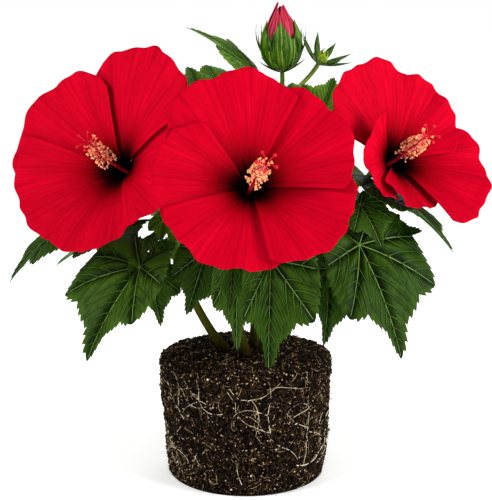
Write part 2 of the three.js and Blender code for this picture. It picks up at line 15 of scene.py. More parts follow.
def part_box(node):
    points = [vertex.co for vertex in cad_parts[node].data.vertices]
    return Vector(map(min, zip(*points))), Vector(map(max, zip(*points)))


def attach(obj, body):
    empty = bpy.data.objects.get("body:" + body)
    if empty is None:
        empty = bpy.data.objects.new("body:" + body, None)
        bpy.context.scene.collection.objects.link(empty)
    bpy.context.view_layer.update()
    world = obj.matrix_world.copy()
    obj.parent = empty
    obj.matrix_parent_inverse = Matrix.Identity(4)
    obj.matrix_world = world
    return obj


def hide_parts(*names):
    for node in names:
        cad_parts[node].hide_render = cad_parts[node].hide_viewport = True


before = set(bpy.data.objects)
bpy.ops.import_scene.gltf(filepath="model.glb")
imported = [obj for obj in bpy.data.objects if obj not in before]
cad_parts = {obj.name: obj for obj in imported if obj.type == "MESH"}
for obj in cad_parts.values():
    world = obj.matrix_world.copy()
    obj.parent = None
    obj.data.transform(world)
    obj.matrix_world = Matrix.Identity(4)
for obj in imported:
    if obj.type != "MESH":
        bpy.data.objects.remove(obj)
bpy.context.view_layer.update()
MM = 0.001  # every size below is in millimetres, and becomes metres when a mesh is made
print("nodes of the solid model:", len(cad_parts))

# %% [markdown]
# ## The camera and the light
# The camera stands a little above the blooms and looks down on them by 11 degrees, as one looks at a plant
# on a table. Its lens is long, so that the near bloom is not swollen. The light is a white tent: an even
# sky, a soft lamp high on the left, a broader one lower on the right, and a weak one behind that rims the
# leaves. Both main lamps stand well to the side, so that petals that face left, right or forward are about
# equally bright, and the sides of the root ball show as well as its middle.

# %% Camera and lamps
scene = bpy.context.scene
scene.view_settings.view_transform = "Standard"

FRAME_HEIGHT = 500  # pixels, the long side of the render
FOCUS = 1185  # how far off the frame would be, in those pixels, for this width of view
SENSOR = 36
CAMERA_PLACE = (0, -1.150, 0.450)
LOOKS_DOWN = 11
camera = bpy.data.objects.new("camera", bpy.data.cameras.new("camera"))
camera.data.sensor_width = SENSOR
camera.data.lens = FOCUS * SENSOR / FRAME_HEIGHT
camera.location = CAMERA_PLACE
camera.rotation_euler = (math.radians(90 - LOOKS_DOWN), 0, 0)
scene.collection.objects.link(camera)
scene.camera = camera


def lamp(name, place, aim, size, watts):
    """A soft square lamp at a place, turned towards another."""
    made = bpy.data.objects.new(name, bpy.data.lights.new(name, "AREA"))
    made.data.size = size
    made.data.energy = watts
    made.location = place
    made.rotation_euler = (Vector(aim) - Vector(place)).to_track_quat("-Z", "Y").to_euler()
    scene.collection.objects.link(made)


MIDDLE = (0, 0, 0.26)
lamp("key_lamp", (-1.4, -0.9, 1.15), MIDDLE, 0.6, 26)
lamp("fill_lamp", (1.55, -0.75, 0.75), MIDDLE, 0.9, 35)
lamp("back_lamp", (0.4, 1.3, 1.2), MIDDLE, 0.9, 6)
print("lens", round(camera.data.lens, 1), "mm")

# %% [markdown]
# ## Nodes and colours
# A material or a Geometry Nodes tree is a list of nodes. One helper adds any node: its settings, the values
# of its sockets, and what feeds them. Colours are written as they look on a screen, and one function turns
# them into the linear values that the renderer works with.


# %% Helpers for nodes and colours
def linear(hex_colour):
    """A screen colour as linear red, green, blue and alpha."""
    shares = [int(hex_colour[i : i + 2], 16) / 255 for i in (1, 3, 5)]
    return [c / 12.92 if c <= 0.04045 else ((c + 0.055) / 1.055) ** 2.4 for c in shares] + [1]


def add(tree, kind, values=None, links=None, stops=None, **settings):
    """Adds a node to a tree: values and links by socket, colour stops by place, and plain settings."""
    made = tree.nodes.new(kind)
    for key, value in settings.items():
        setattr(made, key, value)
    for key, value in (values or {}).items():
        made.inputs[key].default_value = value
    for key, source in (links or {}).items():
        tree.links.new(source, made.inputs[key])
    if stops:
        elements = made.color_ramp.elements
        while len(elements) < len(stops):
            elements.new(1)
        for element, (place, colour) in zip(elements, stops):
            element.position = place
            element.color = linear(colour)
    return made


def finish(name, base, bump=None, **shader):
    """A material: base(tree) gives the colour socket, bump(tree) a height socket and its depth in mm."""
    made = bpy.data.materials.new(name)
    made.use_nodes = True
    tree = made.node_tree
    tree.nodes.clear()
    values = {key.replace("_", " ").title(): value for key, value in shader.items()}
    values = {key.replace("Ior", "IOR"): value for key, value in values.items()}
    links = {"Base Color": base(tree)}
    if bump:
        height, depth = bump(tree)
        raised = add(tree, "ShaderNodeBump", {"Distance": depth * MM}, {"Height": height})
        links["Normal"] = raised.outputs[0]
    skin = add(tree, "ShaderNodeBsdfPrincipled", values, links)
    add(tree, "ShaderNodeOutputMaterial", links={"Surface": skin.outputs[0]})
    return made


def grain(tree, size, detail=4, source="Object", stretch=(1, 1, 1), **noise_values):
    """Noise whose grains are size millimetres wide, on object coordinates or on the piece's own UV."""
    place = add(tree, "ShaderNodeTexCoord").outputs[source]
    scaled = add(tree, "ShaderNodeMapping", {"Scale": stretch}, {"Vector": place}).outputs[0]
    values = {"Scale": 1 / (size * MM), "Detail": detail, **noise_values}
    return add(tree, "ShaderNodeTexNoise", values, {"Vector": scaled}).outputs["Fac"]


def tinted(tree, factor, *stops):
    """The colour of a ramp at a factor."""
    return add(tree, "ShaderNodeValToRGB", links={"Fac": factor}, stops=stops).outputs[0]


# %% [markdown]
# The floor is a matt white sheet under the whole tent. It is wide, so that it fills the view from every
# side. It glows a little, as white paper does under more lamps than a small scene has: faintly near the
# plant, where a soft shadow should show, and more further off, where these lamps hardly reach. The sky is
# bright where the camera sees it and softer where it lights the plant, so that shade stays in the crown.

# %% The white tent
world = bpy.data.worlds.new("white_tent")
scene.world = world
world.use_nodes = True
sky = world.node_tree
sky.nodes.clear()
SKY_ON_PLANT = 0.47
seen = add(sky, "ShaderNodeLightPath").outputs["Is Camera Ray"]
strength = add(sky, "ShaderNodeMix", {"A": SKY_ON_PLANT, "B": 1.0}, {"Factor": seen}, data_type="FLOAT")
shine = add(sky, "ShaderNodeBackground", {"Color": (1, 1, 1, 1)}, {"Strength": strength.outputs[0]})
add(sky, "ShaderNodeOutputWorld", links={"Surface": shine.outputs[0]})


def white_sheet(tree):
    return tinted(tree, grain(tree, 400, 2), (0, "#f4f4f4"), (1, "#f7f7f7"))


FLOOR_RADIUS = 60  # metres, so that its far edge melts into the sky
PAPER = finish(
    "matt_white_paper",
    white_sheet,
    roughness=0.9,
    specular_ior_level=0.1,
    emission_color=(1, 1, 1, 1),
)
NEAR, FAR = 0.2, 0.6  # metres from the plant's middle
GLOW_NEAR, GLOW_FAR = 0.24, 0.7


def glow(tree):
    """Faint near the plant and stronger far off."""
    place = add(tree, "ShaderNodeTexCoord").outputs["Object"]
    away = add(tree, "ShaderNodeVectorMath", links={0: place}, operation="LENGTH").outputs["Value"]
    span = {1: NEAR, 2: FAR, 3: GLOW_NEAR, 4: GLOW_FAR}
    return add(tree, "ShaderNodeMapRange", span, {0: away}).outputs[0]


paper = PAPER.node_tree
paper.links.new(glow(paper), paper.nodes["Principled BSDF"].inputs["Emission Strength"])
bpy.ops.mesh.primitive_circle_add(vertices=96, radius=FLOOR_RADIUS, fill_type="NGON")
floor = bpy.context.object
floor.name = "floor"
floor.data.materials.append(PAPER)
print("the floor is", 2 * FLOOR_RADIUS, "m wide")

# %% [markdown]
# ## Small maths of the plant
# The plant is described with directions in degrees, smooth steps from 0 to 1, curves with four points, and
# numbers that look random but are the same each time. They are written here as in the solid model, because
# one number drawn in another order would grow another plant.


# %% Directions, steps, curves and seeded numbers
def smooth(t):
    """0 to 1, flat at both ends."""
    c = np.clip(t, 0, 1)
    return c * c * (3 - 2 * c)


def direction(bearing, elevation):
    """The direction at a compass bearing (0 is +X, 90 is +Y) and an elevation, in degrees."""
    b, e = math.radians(bearing), math.radians(elevation)
    return np.array([math.cos(b) * math.cos(e), math.sin(b) * math.cos(e), math.sin(e)])


def unit(v):
    return v / np.linalg.norm(v)


def bezier(points, u):
    """The points of a Bezier curve of three or four points at the shares u."""
    u = np.asarray(u, float)[..., None]
    weights = {
        3: ((1 - u) ** 2, 2 * u * (1 - u), u**2),
        4: ((1 - u) ** 3, 3 * u * (1 - u) ** 2, 3 * u**2 * (1 - u), u**3),
    }[len(points)]
    return sum(w * np.asarray(p, float) for w, p in zip(weights, points))


WORD = 0xFFFFFFFF  # keeps a number to 32 bits


def seeded(seed):
    """Numbers from 0 to 1 that are the same for the same seed, drawn one by one."""
    state = seed & WORD

    def draw():
        nonlocal state
        state = (state + 0x6D2B79F5) & WORD
        t = state
        t = ((t ^ (t >> 15)) * (t | 1)) & WORD
        t ^= (t + (((t ^ (t >> 7)) * (t | 61)) & WORD)) & WORD
        return ((t ^ (t >> 14)) & WORD) / (WORD + 1)

    return draw


print("first seeded number:", round(seeded(40)(), 6))

# %% [markdown]
# ## From points to pieces
# Every shape is gathered as points and faces and becomes one mesh. A heap takes many small shapes of one
# kind, such as the leaves of a stem, and makes them one piece, because thousands of separate objects would
# be slow to move and to export. A piece then says which body it rides on and which solid it stands for.
# Petals and leaves are shells: a front, a back and a strip round the rim.
# Their back has the same diagonals as the front, so that neither pokes through where the shell is bent.


# %% Heaps, sheets and pieces
class Heap:
    """Shapes gathered into one mesh: points, faces, each face's material number and each point's UV."""

    def __init__(self):
        self.points, self.faces, self.kinds, self.uvs = [], [], [], []

    def add(self, points, faces, kind=0, uv=None):
        start = len(self.points)
        self.points.extend(np.asarray(points, float).tolist())
        self.faces.extend([[start + i for i in face] for face in faces])
        self.kinds.extend([kind] * len(faces) if isinstance(kind, int) else kind)
        self.uvs.extend((np.zeros((len(points), 2)) if uv is None else np.asarray(uv)).tolist())

    def mesh(self, name, materials):
        made = bpy.data.meshes.new(name)
        made.from_pydata((np.array(self.points) * MM).tolist(), [], self.faces)
        for material in materials:
            made.materials.append(material)
        made.polygons.foreach_set("material_index", self.kinds)
        made.polygons.foreach_set("use_smooth", [True] * len(self.faces))
        corners = np.zeros(len(made.loops), np.int32)
        made.loops.foreach_get("vertex_index", corners)
        layer = made.uv_layers.new(name="UVMap")
        layer.data.foreach_set("uv", np.array(self.uvs, np.float32)[corners].ravel())
        made.update()
        return made


def hand_over(name, mesh, slot, *nodes):
    """Makes a mesh a piece of the plant that stands for solids of the model."""
    old = bpy.data.objects.get(name)
    made = bpy.data.objects.new(name, mesh)
    scene.collection.objects.link(made)
    assert old is None and made.name == name
    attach(made, "root")
    if nodes:
        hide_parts(*nodes)
    triangles = sum(len(face.vertices) - 2 for face in mesh.polygons)
    print(f"{name}: {triangles} triangles")


def grid_faces(rows, columns, closed=False):
    """Faces of a grid of points, row by row; closed joins the last column to the first."""
    faces = []
    for r in range(rows - 1):
        for c in range(columns if closed else columns - 1):
            here, beside = r * columns + c, r * columns + (c + 1) % columns
            faces.append((here, beside, beside + columns, here + columns))
    return faces


def skin(rings):
    """Faces of a closed skin over rings of points, with a cap at each end."""
    count, around = rings.shape[:2]
    last = (count - 1) * around
    caps = [tuple(range(around))[::-1], tuple(range(last, last + around))]
    return grid_faces(count, around, closed=True) + caps


def shell(front, back):
    """A closed sheet: front and back are grids of points, and a strip joins their rims."""
    rows, columns = front.shape[:2]
    layer = rows * columns
    faces = grid_faces(rows, columns)
    under = [tuple(i + layer for i in (face[0], *face[:0:-1])) for face in faces]
    rim = list(range(columns))
    rim += [r * columns + columns - 1 for r in range(1, rows)]
    rim += [(rows - 1) * columns + c for c in range(columns - 2, -1, -1)]
    rim += [r * columns for r in range(rows - 2, 0, -1)]
    strip = [(b, a, a + layer, b + layer) for a, b in zip(rim, rim[1:] + rim[:1])]
    return np.concatenate([front.reshape(-1, 3), back.reshape(-1, 3)]), faces + under + strip


def normals_of(grid):
    """The unit normals of a grid of points, across its two directions."""
    made = np.cross(np.gradient(grid, axis=1), np.gradient(grid, axis=0))
    return made / np.maximum(np.linalg.norm(made, axis=-1, keepdims=True), 1e-9)


# %% [markdown]
# ## Limbs and litter by Geometry Nodes
# Two trees do what repeats. The first turns lines into round limbs: it reads each point's radius, sweeps a
# ring along the line, and roughens the skin a little. Stems, petioles, roots, styles and bracts are all
# such limbs. The second strews a small shape over a surface, turned out along it, and is used for crumbs of
# peat, fibres, grains of perlite and stamens. Both end in Realize Instances and Set Material, so that what
# comes out is a plain mesh.


# %% The two trees
def new_tree(name, sockets):
    """A Geometry Nodes tree with a geometry input, named inputs and a geometry output."""
    tree = bpy.data.node_groups.new(name, "GeometryNodeTree")
    tree.interface.new_socket("Geometry", in_out="INPUT", socket_type="NodeSocketGeometry")
    for label, kind in sockets.items():
        tree.interface.new_socket(label, in_out="INPUT", socket_type="NodeSocket" + kind)
    tree.interface.new_socket("Geometry", in_out="OUTPUT", socket_type="NodeSocketGeometry")
    return tree, add(tree, "NodeGroupInput").outputs


def end_tree(tree, geometry, material):
    """Every tree ends alike: smooth, instances made real, and one material."""
    soft = add(tree, "GeometryNodeSetShadeSmooth", links={"Geometry": geometry}).outputs[0]
    real = add(tree, "GeometryNodeRealizeInstances", links={"Geometry": soft}).outputs[0]
    dressed = add(tree, "GeometryNodeSetMaterial", links={"Geometry": real, "Material": material}).outputs[0]
    add(tree, "NodeGroupOutput", links={"Geometry": dressed})


LIMB_INPUTS = {"Sides": "Int", "Relief": "Float", "Grain": "Float", "Material": "Material"}
LIMBS, given = new_tree("limbs", LIMB_INPUTS)
lines = add(LIMBS, "GeometryNodeMeshToCurve", links={"Mesh": given["Geometry"]}).outputs[0]
sides = {"Resolution": given["Sides"]}
ring = add(LIMBS, "GeometryNodeCurvePrimitiveCircle", {"Radius": 1.0}, sides).outputs[0]
thick = add(LIMBS, "GeometryNodeInputNamedAttribute", {"Name": "thick"}, data_type="FLOAT").outputs[0]
sweep = {"Curve": lines, "Profile Curve": ring, "Scale": thick}
swept = add(LIMBS, "GeometryNodeCurveToMesh", {"Fill Caps": True}, sweep).outputs[0]
bumps = add(LIMBS, "ShaderNodeTexNoise", {"Detail": 2.0}, {"Scale": given["Grain"]}).outputs["Fac"]
centred = add(LIMBS, "ShaderNodeMath", {1: 0.5}, {0: bumps}, operation="SUBTRACT").outputs[0]
lift = add(LIMBS, "ShaderNodeMath", links={0: centred, 1: given["Relief"]}, operation="MULTIPLY").outputs[0]
outward = add(LIMBS, "GeometryNodeInputNormal").outputs[0]
push = add(LIMBS, "ShaderNodeVectorMath", links={0: outward, "Scale": lift}, operation="SCALE").outputs[0]
rough = add(LIMBS, "GeometryNodeSetPosition", links={"Geometry": swept, "Offset": push}).outputs[0]
end_tree(LIMBS, rough, given["Material"])

LITTER_INPUTS = {"Shape": "Object", "Density": "Float", "Seed": "Int", "Least": "Float"}
LITTER_INPUTS |= {"Most": "Float", "Tilt": "Float", "Material": "Material"}
LITTER, given = new_tree("litter", LITTER_INPUTS)
cover = add(LITTER, "GeometryNodeInputNamedAttribute", {"Name": "cover"}, data_type="FLOAT").outputs[0]
dense = add(LITTER, "ShaderNodeMath", links={0: cover, 1: given["Density"]}, operation="MULTIPLY").outputs[0]
strew = {"Mesh": given["Geometry"], "Density": dense, "Seed": given["Seed"]}
dots = add(LITTER, "GeometryNodeDistributePointsOnFaces", links=strew, distribute_method="RANDOM").outputs
least_turn = add(LITTER, "ShaderNodeMath", {1: -1.0}, {0: given["Tilt"]}, operation="MULTIPLY").outputs[0]
low = add(LITTER, "ShaderNodeCombineXYZ", {"Z": 0.0}, {"X": least_turn, "Y": least_turn}).outputs[0]
most_turn = {"X": given["Tilt"], "Y": given["Tilt"]}
high = add(LITTER, "ShaderNodeCombineXYZ", {"Z": 2 * math.pi}, most_turn).outputs[0]
between = {0: low, 1: high}
spin = add(LITTER, "FunctionNodeRandomValue", {"Seed": 3}, between, data_type="FLOAT_VECTOR").outputs[0]
turn = {"Rotation": dots["Rotation"], "Rotate By": spin}
turned = add(LITTER, "FunctionNodeRotateRotation", links=turn, rotation_space="LOCAL").outputs[0]
span = {2: given["Least"], 3: given["Most"]}
sized = add(LITTER, "FunctionNodeRandomValue", {"Seed": 8}, span, data_type="FLOAT").outputs[1]
shape = add(LITTER, "GeometryNodeObjectInfo", links={"Object": given["Shape"]}).outputs["Geometry"]
set_out = {"Points": dots["Points"], "Instance": shape, "Rotation": turned, "Scale": sized}
strewn = add(LITTER, "GeometryNodeInstanceOnPoints", links=set_out).outputs[0]
end_tree(LITTER, strewn, given["Material"])


def grown(mesh, tree, inputs):
    """Runs a tree over a mesh with named inputs and returns the plain mesh that comes out."""
    source = bpy.data.objects.new("source", mesh)
    scene.collection.objects.link(source)
    modifier = source.modifiers.new(tree.name, "NODES")
    modifier.node_group = tree
    for socket in tree.interface.items_tree:
        if socket.in_out == "INPUT" and socket.name in inputs:
            modifier[socket.identifier] = inputs[socket.name]
    depsgraph = bpy.context.evaluated_depsgraph_get()
    made = bpy.data.meshes.new_from_object(source.evaluated_get(depsgraph))
    bpy.data.objects.remove(source)
    return made


def limbs(lines, material, sides=8, relief=0.0, grain_size=3.0):
    """A mesh of round limbs from (points, radii) pairs in millimetres."""
    mesh = bpy.data.meshes.new("lines")
    counts = [len(points) for points, radii in lines]
    starts = np.cumsum([0] + counts[:-1])
    edges = [(s + i, s + i + 1) for s, n in zip(starts, counts) for i in range(n - 1)]
    points = np.concatenate([points for points, radii in lines]) * MM
    mesh.from_pydata(points.tolist(), edges, [])
    radii = np.concatenate([np.broadcast_to(radii, len(points)) for points, radii in lines]) * MM
    mesh.attributes.new("thick", "FLOAT", "POINT").data.foreach_set("value", radii.astype(np.float32))
    sizes = {"Sides": sides, "Relief": relief * MM, "Grain": 1 / (grain_size * MM), "Material": material}
    return grown(mesh, LIMBS, sizes)


def litter(surface, shape, cover, per_cm2, seed, sizes, tilt, material):
    """Copies of a shape strewn over a surface where cover, a number for each point, says."""
    mesh = surface.copy()
    mesh.attributes.new("cover", "FLOAT", "POINT").data.foreach_set("value", np.asarray(cover, np.float32))
    model = bpy.data.objects.new("model", shape)
    scene.collection.objects.link(model)
    inputs = {"Shape": model, "Density": per_cm2 * 1e4, "Seed": seed, "Least": sizes[0], "Most": sizes[1]}
    made = grown(mesh, LITTER, {**inputs, "Tilt": math.radians(tilt), "Material": material})
    bpy.data.objects.remove(model)
    return made


def joined(meshes):
    """Several meshes as one, each with its own material."""
    objects = []
    for mesh in meshes:
        objects.append(bpy.data.objects.new("part", mesh))
        scene.collection.objects.link(objects[-1])
    with bpy.context.temp_override(active_object=objects[0], selected_editable_objects=objects):
        bpy.ops.object.join()
    made = objects[0].data
    bpy.data.objects.remove(objects[0])
    return made


print("trees:", LIMBS.name, "and", LITTER.name)

# %% [markdown]
# ## The root ball
# A plant that has filled its pot keeps the pot's shape when it is lifted out: a drum that narrows to the
# foot, of dark peat and bark, laced with roots. Its skin is one fine grid swept round the drum's profile.
# Two sizes of noise push it in and out as crumbs do, except on the underside, which stays flat to stand on.

# %% The drum's skin
BALL_HEIGHT = round(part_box("root_ball")[1].z / MM)
BALL_TOP_RADIUS = 86
BALL_FOOT_RADIUS = 78
BALL_EDGE = 9  # the radius of the upper edge
FOOT_EDGE = 2.5
BALL_ROUGHNESS = 1.6
MOUND = 2.5  # how far the top is heaped up
CRUMB = 1.7  # how far crumbs stand out
COLUMNS = 420


def wall_radius(z):
    """The drum's radius at a height, between its edges."""
    return BALL_FOOT_RADIUS + (BALL_TOP_RADIUS - BALL_FOOT_RADIUS) * z / BALL_HEIGHT


def lumps(angle, z):
    """Three broad waves round the drum, which make it a little uneven."""
    slow = np.sin(angle * 5 + z * 0.05)
    return slow + np.sin(angle * 11 - z * 0.11) * 0.7 + np.sin(angle * 17 + z * 0.2) * 0.5


def ball_profile():
    """Radius and height along the drum's section: underside, edge, side, edge and top."""
    turn = np.linspace(0, math.pi / 2, 12)
    low_out = wall_radius(FOOT_EDGE) - FOOT_EDGE * (1 - np.sin(turn))
    high_out = wall_radius(BALL_HEIGHT - BALL_EDGE) - BALL_EDGE * (1 - np.cos(turn))
    crown = np.linspace(high_out[-1], 0.5, 60)[1:]
    climb = np.linspace(FOOT_EDGE, BALL_HEIGHT - BALL_EDGE, 94)[1:-1]
    stretches = [
        (np.linspace(0.5, low_out[0], 9)[:-1], np.zeros(8)),
        (low_out, FOOT_EDGE * (1 - np.cos(turn))),
        (wall_radius(climb), climb),
        (high_out, BALL_HEIGHT - BALL_EDGE * (1 - np.sin(turn))),
        (crown, BALL_HEIGHT + MOUND * (1 - (crown / high_out[-1]) ** 2)),
    ]
    return [np.concatenate(part) for part in zip(*stretches)]


def crumbly(point):
    """How far the skin stands out at a point, from noise of two sizes."""
    coarse = noise.fractal(Vector(point) / 8, 1.0, 2.0, 3)
    fine = abs(noise.noise(Vector(point) / 2.6)) - 0.25
    return CRUMB * (coarse + 1.3 * fine)


def ball_skin():
    """Rings of points over the whole drum, pushed in and out."""
    radius, height = ball_profile()
    around = np.linspace(0, 2 * math.pi, COLUMNS, endpoint=False)
    a, r = np.meshgrid(around, radius)
    z = np.broadcast_to(height[:, None], a.shape)
    on_side = smooth(z / BALL_EDGE) * smooth((BALL_HEIGHT + 6 - z) / BALL_EDGE)
    r = r * (1 + BALL_ROUGHNESS * lumps(a, z) * 0.5 * on_side / BALL_TOP_RADIUS)
    grid = np.stack([r * np.cos(a), r * np.sin(a), z], axis=-1)
    along, over = np.gradient(grid, axis=0), np.roll(grid, -1, axis=1) - np.roll(grid, 1, axis=1)
    out = np.cross(over, along)
    out /= np.maximum(np.linalg.norm(out, axis=-1, keepdims=True), 1e-9)
    push = np.array([crumbly(p) for p in grid.reshape(-1, 3).tolist()]).reshape(a.shape)
    grid = grid + out * (push * smooth((z - 0.5) / 6))[..., None]
    grid[..., 2] = np.maximum(grid[..., 2], 0)
    return grid


# %% [markdown]
# Peat is dark, damp and full of air, so it gives the eye almost no shine: only the broken light and dark of
# its crumbs. Its colours go from nearly black in the hollows to a dry brown on the crumbs that stand out.
# Roots and fibres are dull and tan, perlite is a white expanded glass that catches what light there is.

# %% Peat, fibre, root and perlite
PEAT_COLOURS = (0.34, "#010000"), (0.5, "#080402"), (0.62, "#180e06"), (0.74, "#3e2c18")
PEAT = finish(
    "moist_peat",
    lambda tree: tinted(tree, grain(tree, 2.4, 6), *PEAT_COLOURS),
    lambda tree: (grain(tree, 1.1, 5), 0.8),
    roughness=0.92,
    specular_ior_level=0.04,
)


def dull(name, dark, light, size=6, roughness=0.85):
    """A dull natural finish that wanders between two colours, in patches size millimetres wide."""

    def base(tree):
        return tinted(tree, grain(tree, size, 3), (0.35, dark), (0.65, light))

    return finish(name, base, roughness=roughness, specular_ior_level=0.1)


CRUMBS = dull("bark_crumbs", "#060302", "#24170a")
PALE_CRUMBS = dull("dry_bark_crumbs", "#6a5032", "#d0b48a")
TAN_FIBRE = dull("coir_fibre", "#2e2010", "#785c34")
PALE_FIBRE = dull("fine_live_roots", "#7c6646", "#b8a27c")
WHITE_ROOT = dull("thick_live_roots", "#b4a280", "#e8dcc0")
PERLITE = dull("perlite", "#8e8472", "#d8cfbc")

skin_grid = ball_skin()
ball = Heap()
ball.add(skin_grid.reshape(-1, 3), skin(skin_grid))
ball_mesh = ball.mesh("root_ball_peat", [PEAT])
hand_over("root_ball_peat", ball_mesh, "peat", "root_ball")

# %% [markdown]
# Crumbs, fibres and perlite are strewn over that skin by the second tree. A crumb is a squashed pebble of
# twenty faces, and a fibre is a thin bent strand that lies along the surface. A real fibre is too fine to
# show in a render of the whole plant, so the strands are drawn as thick as the coarsest real ones.

# %% Litter on the drum
heights = np.array(ball.points)[:, 2]
on_sides = smooth((heights - 1.5) / 3)


def pebble(name, flat):
    """A squashed pebble one millimetre across."""
    bpy.ops.mesh.primitive_ico_sphere_add(subdivisions=1, radius=0.5 * MM)
    mesh = bpy.context.object.data
    bpy.data.objects.remove(bpy.context.object)
    mesh.name = name
    for vertex in mesh.vertices:
        vertex.co *= 1 + 0.35 * noise.noise(vertex.co / MM * 3)
        vertex.co.z *= flat
    return mesh


def strand(name, length, thick, bow):
    """A thin strand that lies along X and bows up in its middle."""
    u = np.linspace(-1, 1, 6)
    bent = bow * (1 - u**2)
    points = np.stack([u * length / 2, bent * 0.8, bent * 0.35 + 0.2], axis=-1)
    return limbs([(points, thick * (1 - 0.6 * u**4))], TAN_FIBRE, sides=3)


# Name, shape, how many on a square centimetre, seed, least and most size, tilt and finish.
STREWN = [
    ("peat_crumbs", pebble("crumb", 0.8), 9.0, 11, (1.2, 4.2), 60, CRUMBS),
    ("peat_pale_crumbs", pebble("chip", 0.55), 3.4, 15, (0.5, 2.3), 60, PALE_CRUMBS),
    ("peat_fibres", strand("fibre", 5, 0.3, 0.9), 4.5, 12, (0.4, 1.3), 75, TAN_FIBRE),
    ("peat_fine_roots", strand("rootlet", 9, 0.2, 1.1), 1.0, 13, (0.4, 1.4), 20, PALE_FIBRE),
    ("peat_perlite", pebble("bead", 0.6), 0.28, 14, (1.0, 3.0), 60, PERLITE),
]


def keep_off_floor(mesh):
    """Press flat what would poke out under the drum, as its own weight does."""
    flat = np.empty(len(mesh.vertices) * 3, dtype=np.float32)
    mesh.vertices.foreach_get("co", flat)
    flat[2::3] = np.maximum(flat[2::3], 0.1 * MM)
    mesh.vertices.foreach_set("co", flat)


for name, model, per_cm2, seed, sizes, tilt, material in STREWN:
    made = litter(ball_mesh, model, on_sides, per_cm2, seed, sizes, tilt, material)
    keep_off_floor(made)
    hand_over(name, made, "peat")

# %% [markdown]
# The roots that show are the ones that ran along the wall of the pot. Each is a walk over the drum: it sets
# out at some angle and height, wanders a little at every step, thins towards its end and may fork. The
# walks are lines, and the first tree makes them round.


# %% Roots on the wall
ROOTS = 48
GOLDEN_SHARE = 0.618  # of a round, from one thing to the next, so that no two fall together
ROOT_STEP = 3
ROOT_MARGIN = 6  # how near a root comes to the drum's edges
WANDER = 0.2
KEEPS_TURNING = 0.85
FORK_CHANCE = 0.05
SHORTEST_TO_FORK = 25
ROOT_LENGTH = (34, 110)  # the least, and how much more the longest has
ROOT_RADIUS = (0.27, 0.26)


def on_wall(angle, z):
    """A point just proud of the drum's wall."""
    place = np.array([math.cos(angle), math.sin(angle), 0])
    radius = wall_radius(z) * (1 + BALL_ROUGHNESS * lumps(angle, z) * 0.5 / BALL_TOP_RADIUS)
    point = place * radius + np.array([0, 0, z])
    return point + place * (max(crumbly(point.tolist()), 0) + 0.3)


def root_walk(draw, angle, z, heading, length, thick, lines):
    """One root: even steps over the wall, with a fork now and then."""
    turn = 0
    points = []
    for k in range(int(length / ROOT_STEP)):
        if not ROOT_MARGIN < z < BALL_HEIGHT - ROOT_MARGIN:
            break
        points.append(on_wall(angle, z))
        turn = KEEPS_TURNING * turn + WANDER * (draw() - 0.5)
        heading += turn
        angle += math.cos(heading) * ROOT_STEP / BALL_TOP_RADIUS
        z += math.sin(heading) * ROOT_STEP
        if draw() < FORK_CHANCE and length > SHORTEST_TO_FORK:
            hand = 1 if draw() < 0.5 else -1
            fork = heading + hand * (0.6 + 0.5 * draw())
            root_walk(draw, angle, z, fork, length * 0.45, thick * 0.75, lines)
    if len(points) > 3:
        share = np.linspace(0, 1, len(points))
        lines.append((np.array(points), thick * (1 - 0.65 * share)))


draw = seeded(77)
root_lines = []
for k in range(ROOTS):
    bearing = 2 * math.pi * (k * GOLDEN_SHARE % 1)
    start = 10 + (BALL_HEIGHT - 20) * draw()
    heading = 2 * math.pi * draw()
    length = ROOT_LENGTH[0] + ROOT_LENGTH[1] * draw() ** 2
    thick = ROOT_RADIUS[0] + ROOT_RADIUS[1] * draw()
    root_walk(draw, bearing, start, heading, length, thick, root_lines)
roots = limbs(root_lines, WHITE_ROOT, sides=6, relief=0.12, grain_size=3)
hand_over("wall_roots", roots, "peat")
print("roots and forks on the wall:", len(root_lines))

# %% [markdown]
# ## The blooms
# Five petals overlap round a deep throat and open into a wide, shallow funnel. Each petal is a closed shell,
# half a millimetre thick, over a grid of points. A petal's shape comes from the funnel's section, a rounded
# margin and a slight twist that lays one edge over the next petal. Pleats run out from the throat, and the
# margin waves and frills as real ones do.

# %% The shape of a petal
PETAL_THICKNESS = 0.5
PETAL_HALF_ANGLE = 50
PETAL_TWIST = 4
RUFFLE = 2.2
FRILL = 0.7
PLEAT = 0.28
FUNNEL_RADIUS = 3
FUNNEL_ANGLES = (20, 64, 78)
FUNNEL_REACH = 110
CALYX_DEPTH = 24
BLOOMS = {
    "left": {
        "throat": (-108, -25, 305),
        "look": (-127, 22),
        "roll": -14,
        "lengths": (127, 121, 113, 101, 115),
        "leans": (-0.16, 0.12, -0.1, -0.13, 0),
        "column": (-0.03, 0.13),
        "flaps": (0, 0, 0, 0, 0),
    },
    "middle": {
        "throat": (2, -105, 297),
        "look": (-82, 31),
        "roll": 18,
        "lengths": (112, 103, 108, 107, 108),
        "leans": (0, 0.09, -0.1, -0.04, 0),
        "column": (0.08, -0.04),
        "flaps": (0, 0, 0, 0, 0),
    },
    "right": {
        "throat": (131, -20, 311),
        "look": (-53, 27),
        "roll": 26,
        "lengths": (110, 83, 71, 103, 92),
        "leans": (0.12, -0.06, 0, -0.05, 0.12),
        "column": (0.02, 0.06),
        "flaps": (0, 22, 0, 0, 0),
    },
}


def basis_along(axis, roll=0):
    """Three directions as columns: the third is the axis, and roll turns the other two, in degrees."""
    side = unit(np.cross((0, 0, 1), axis))
    over = np.cross(axis, side)
    c, s = math.cos(math.radians(roll)), math.sin(math.radians(roll))
    return np.stack([c * side + s * over, c * over - s * side, axis], axis=1)


for bloom in BLOOMS.values():
    bloom["throat"] = np.array(bloom["throat"], float)
    bloom["axis"] = direction(*bloom["look"])
    bloom["basis"] = basis_along(bloom["axis"], bloom["roll"])
    bloom["base"] = bloom["throat"] - CALYX_DEPTH * bloom["axis"]


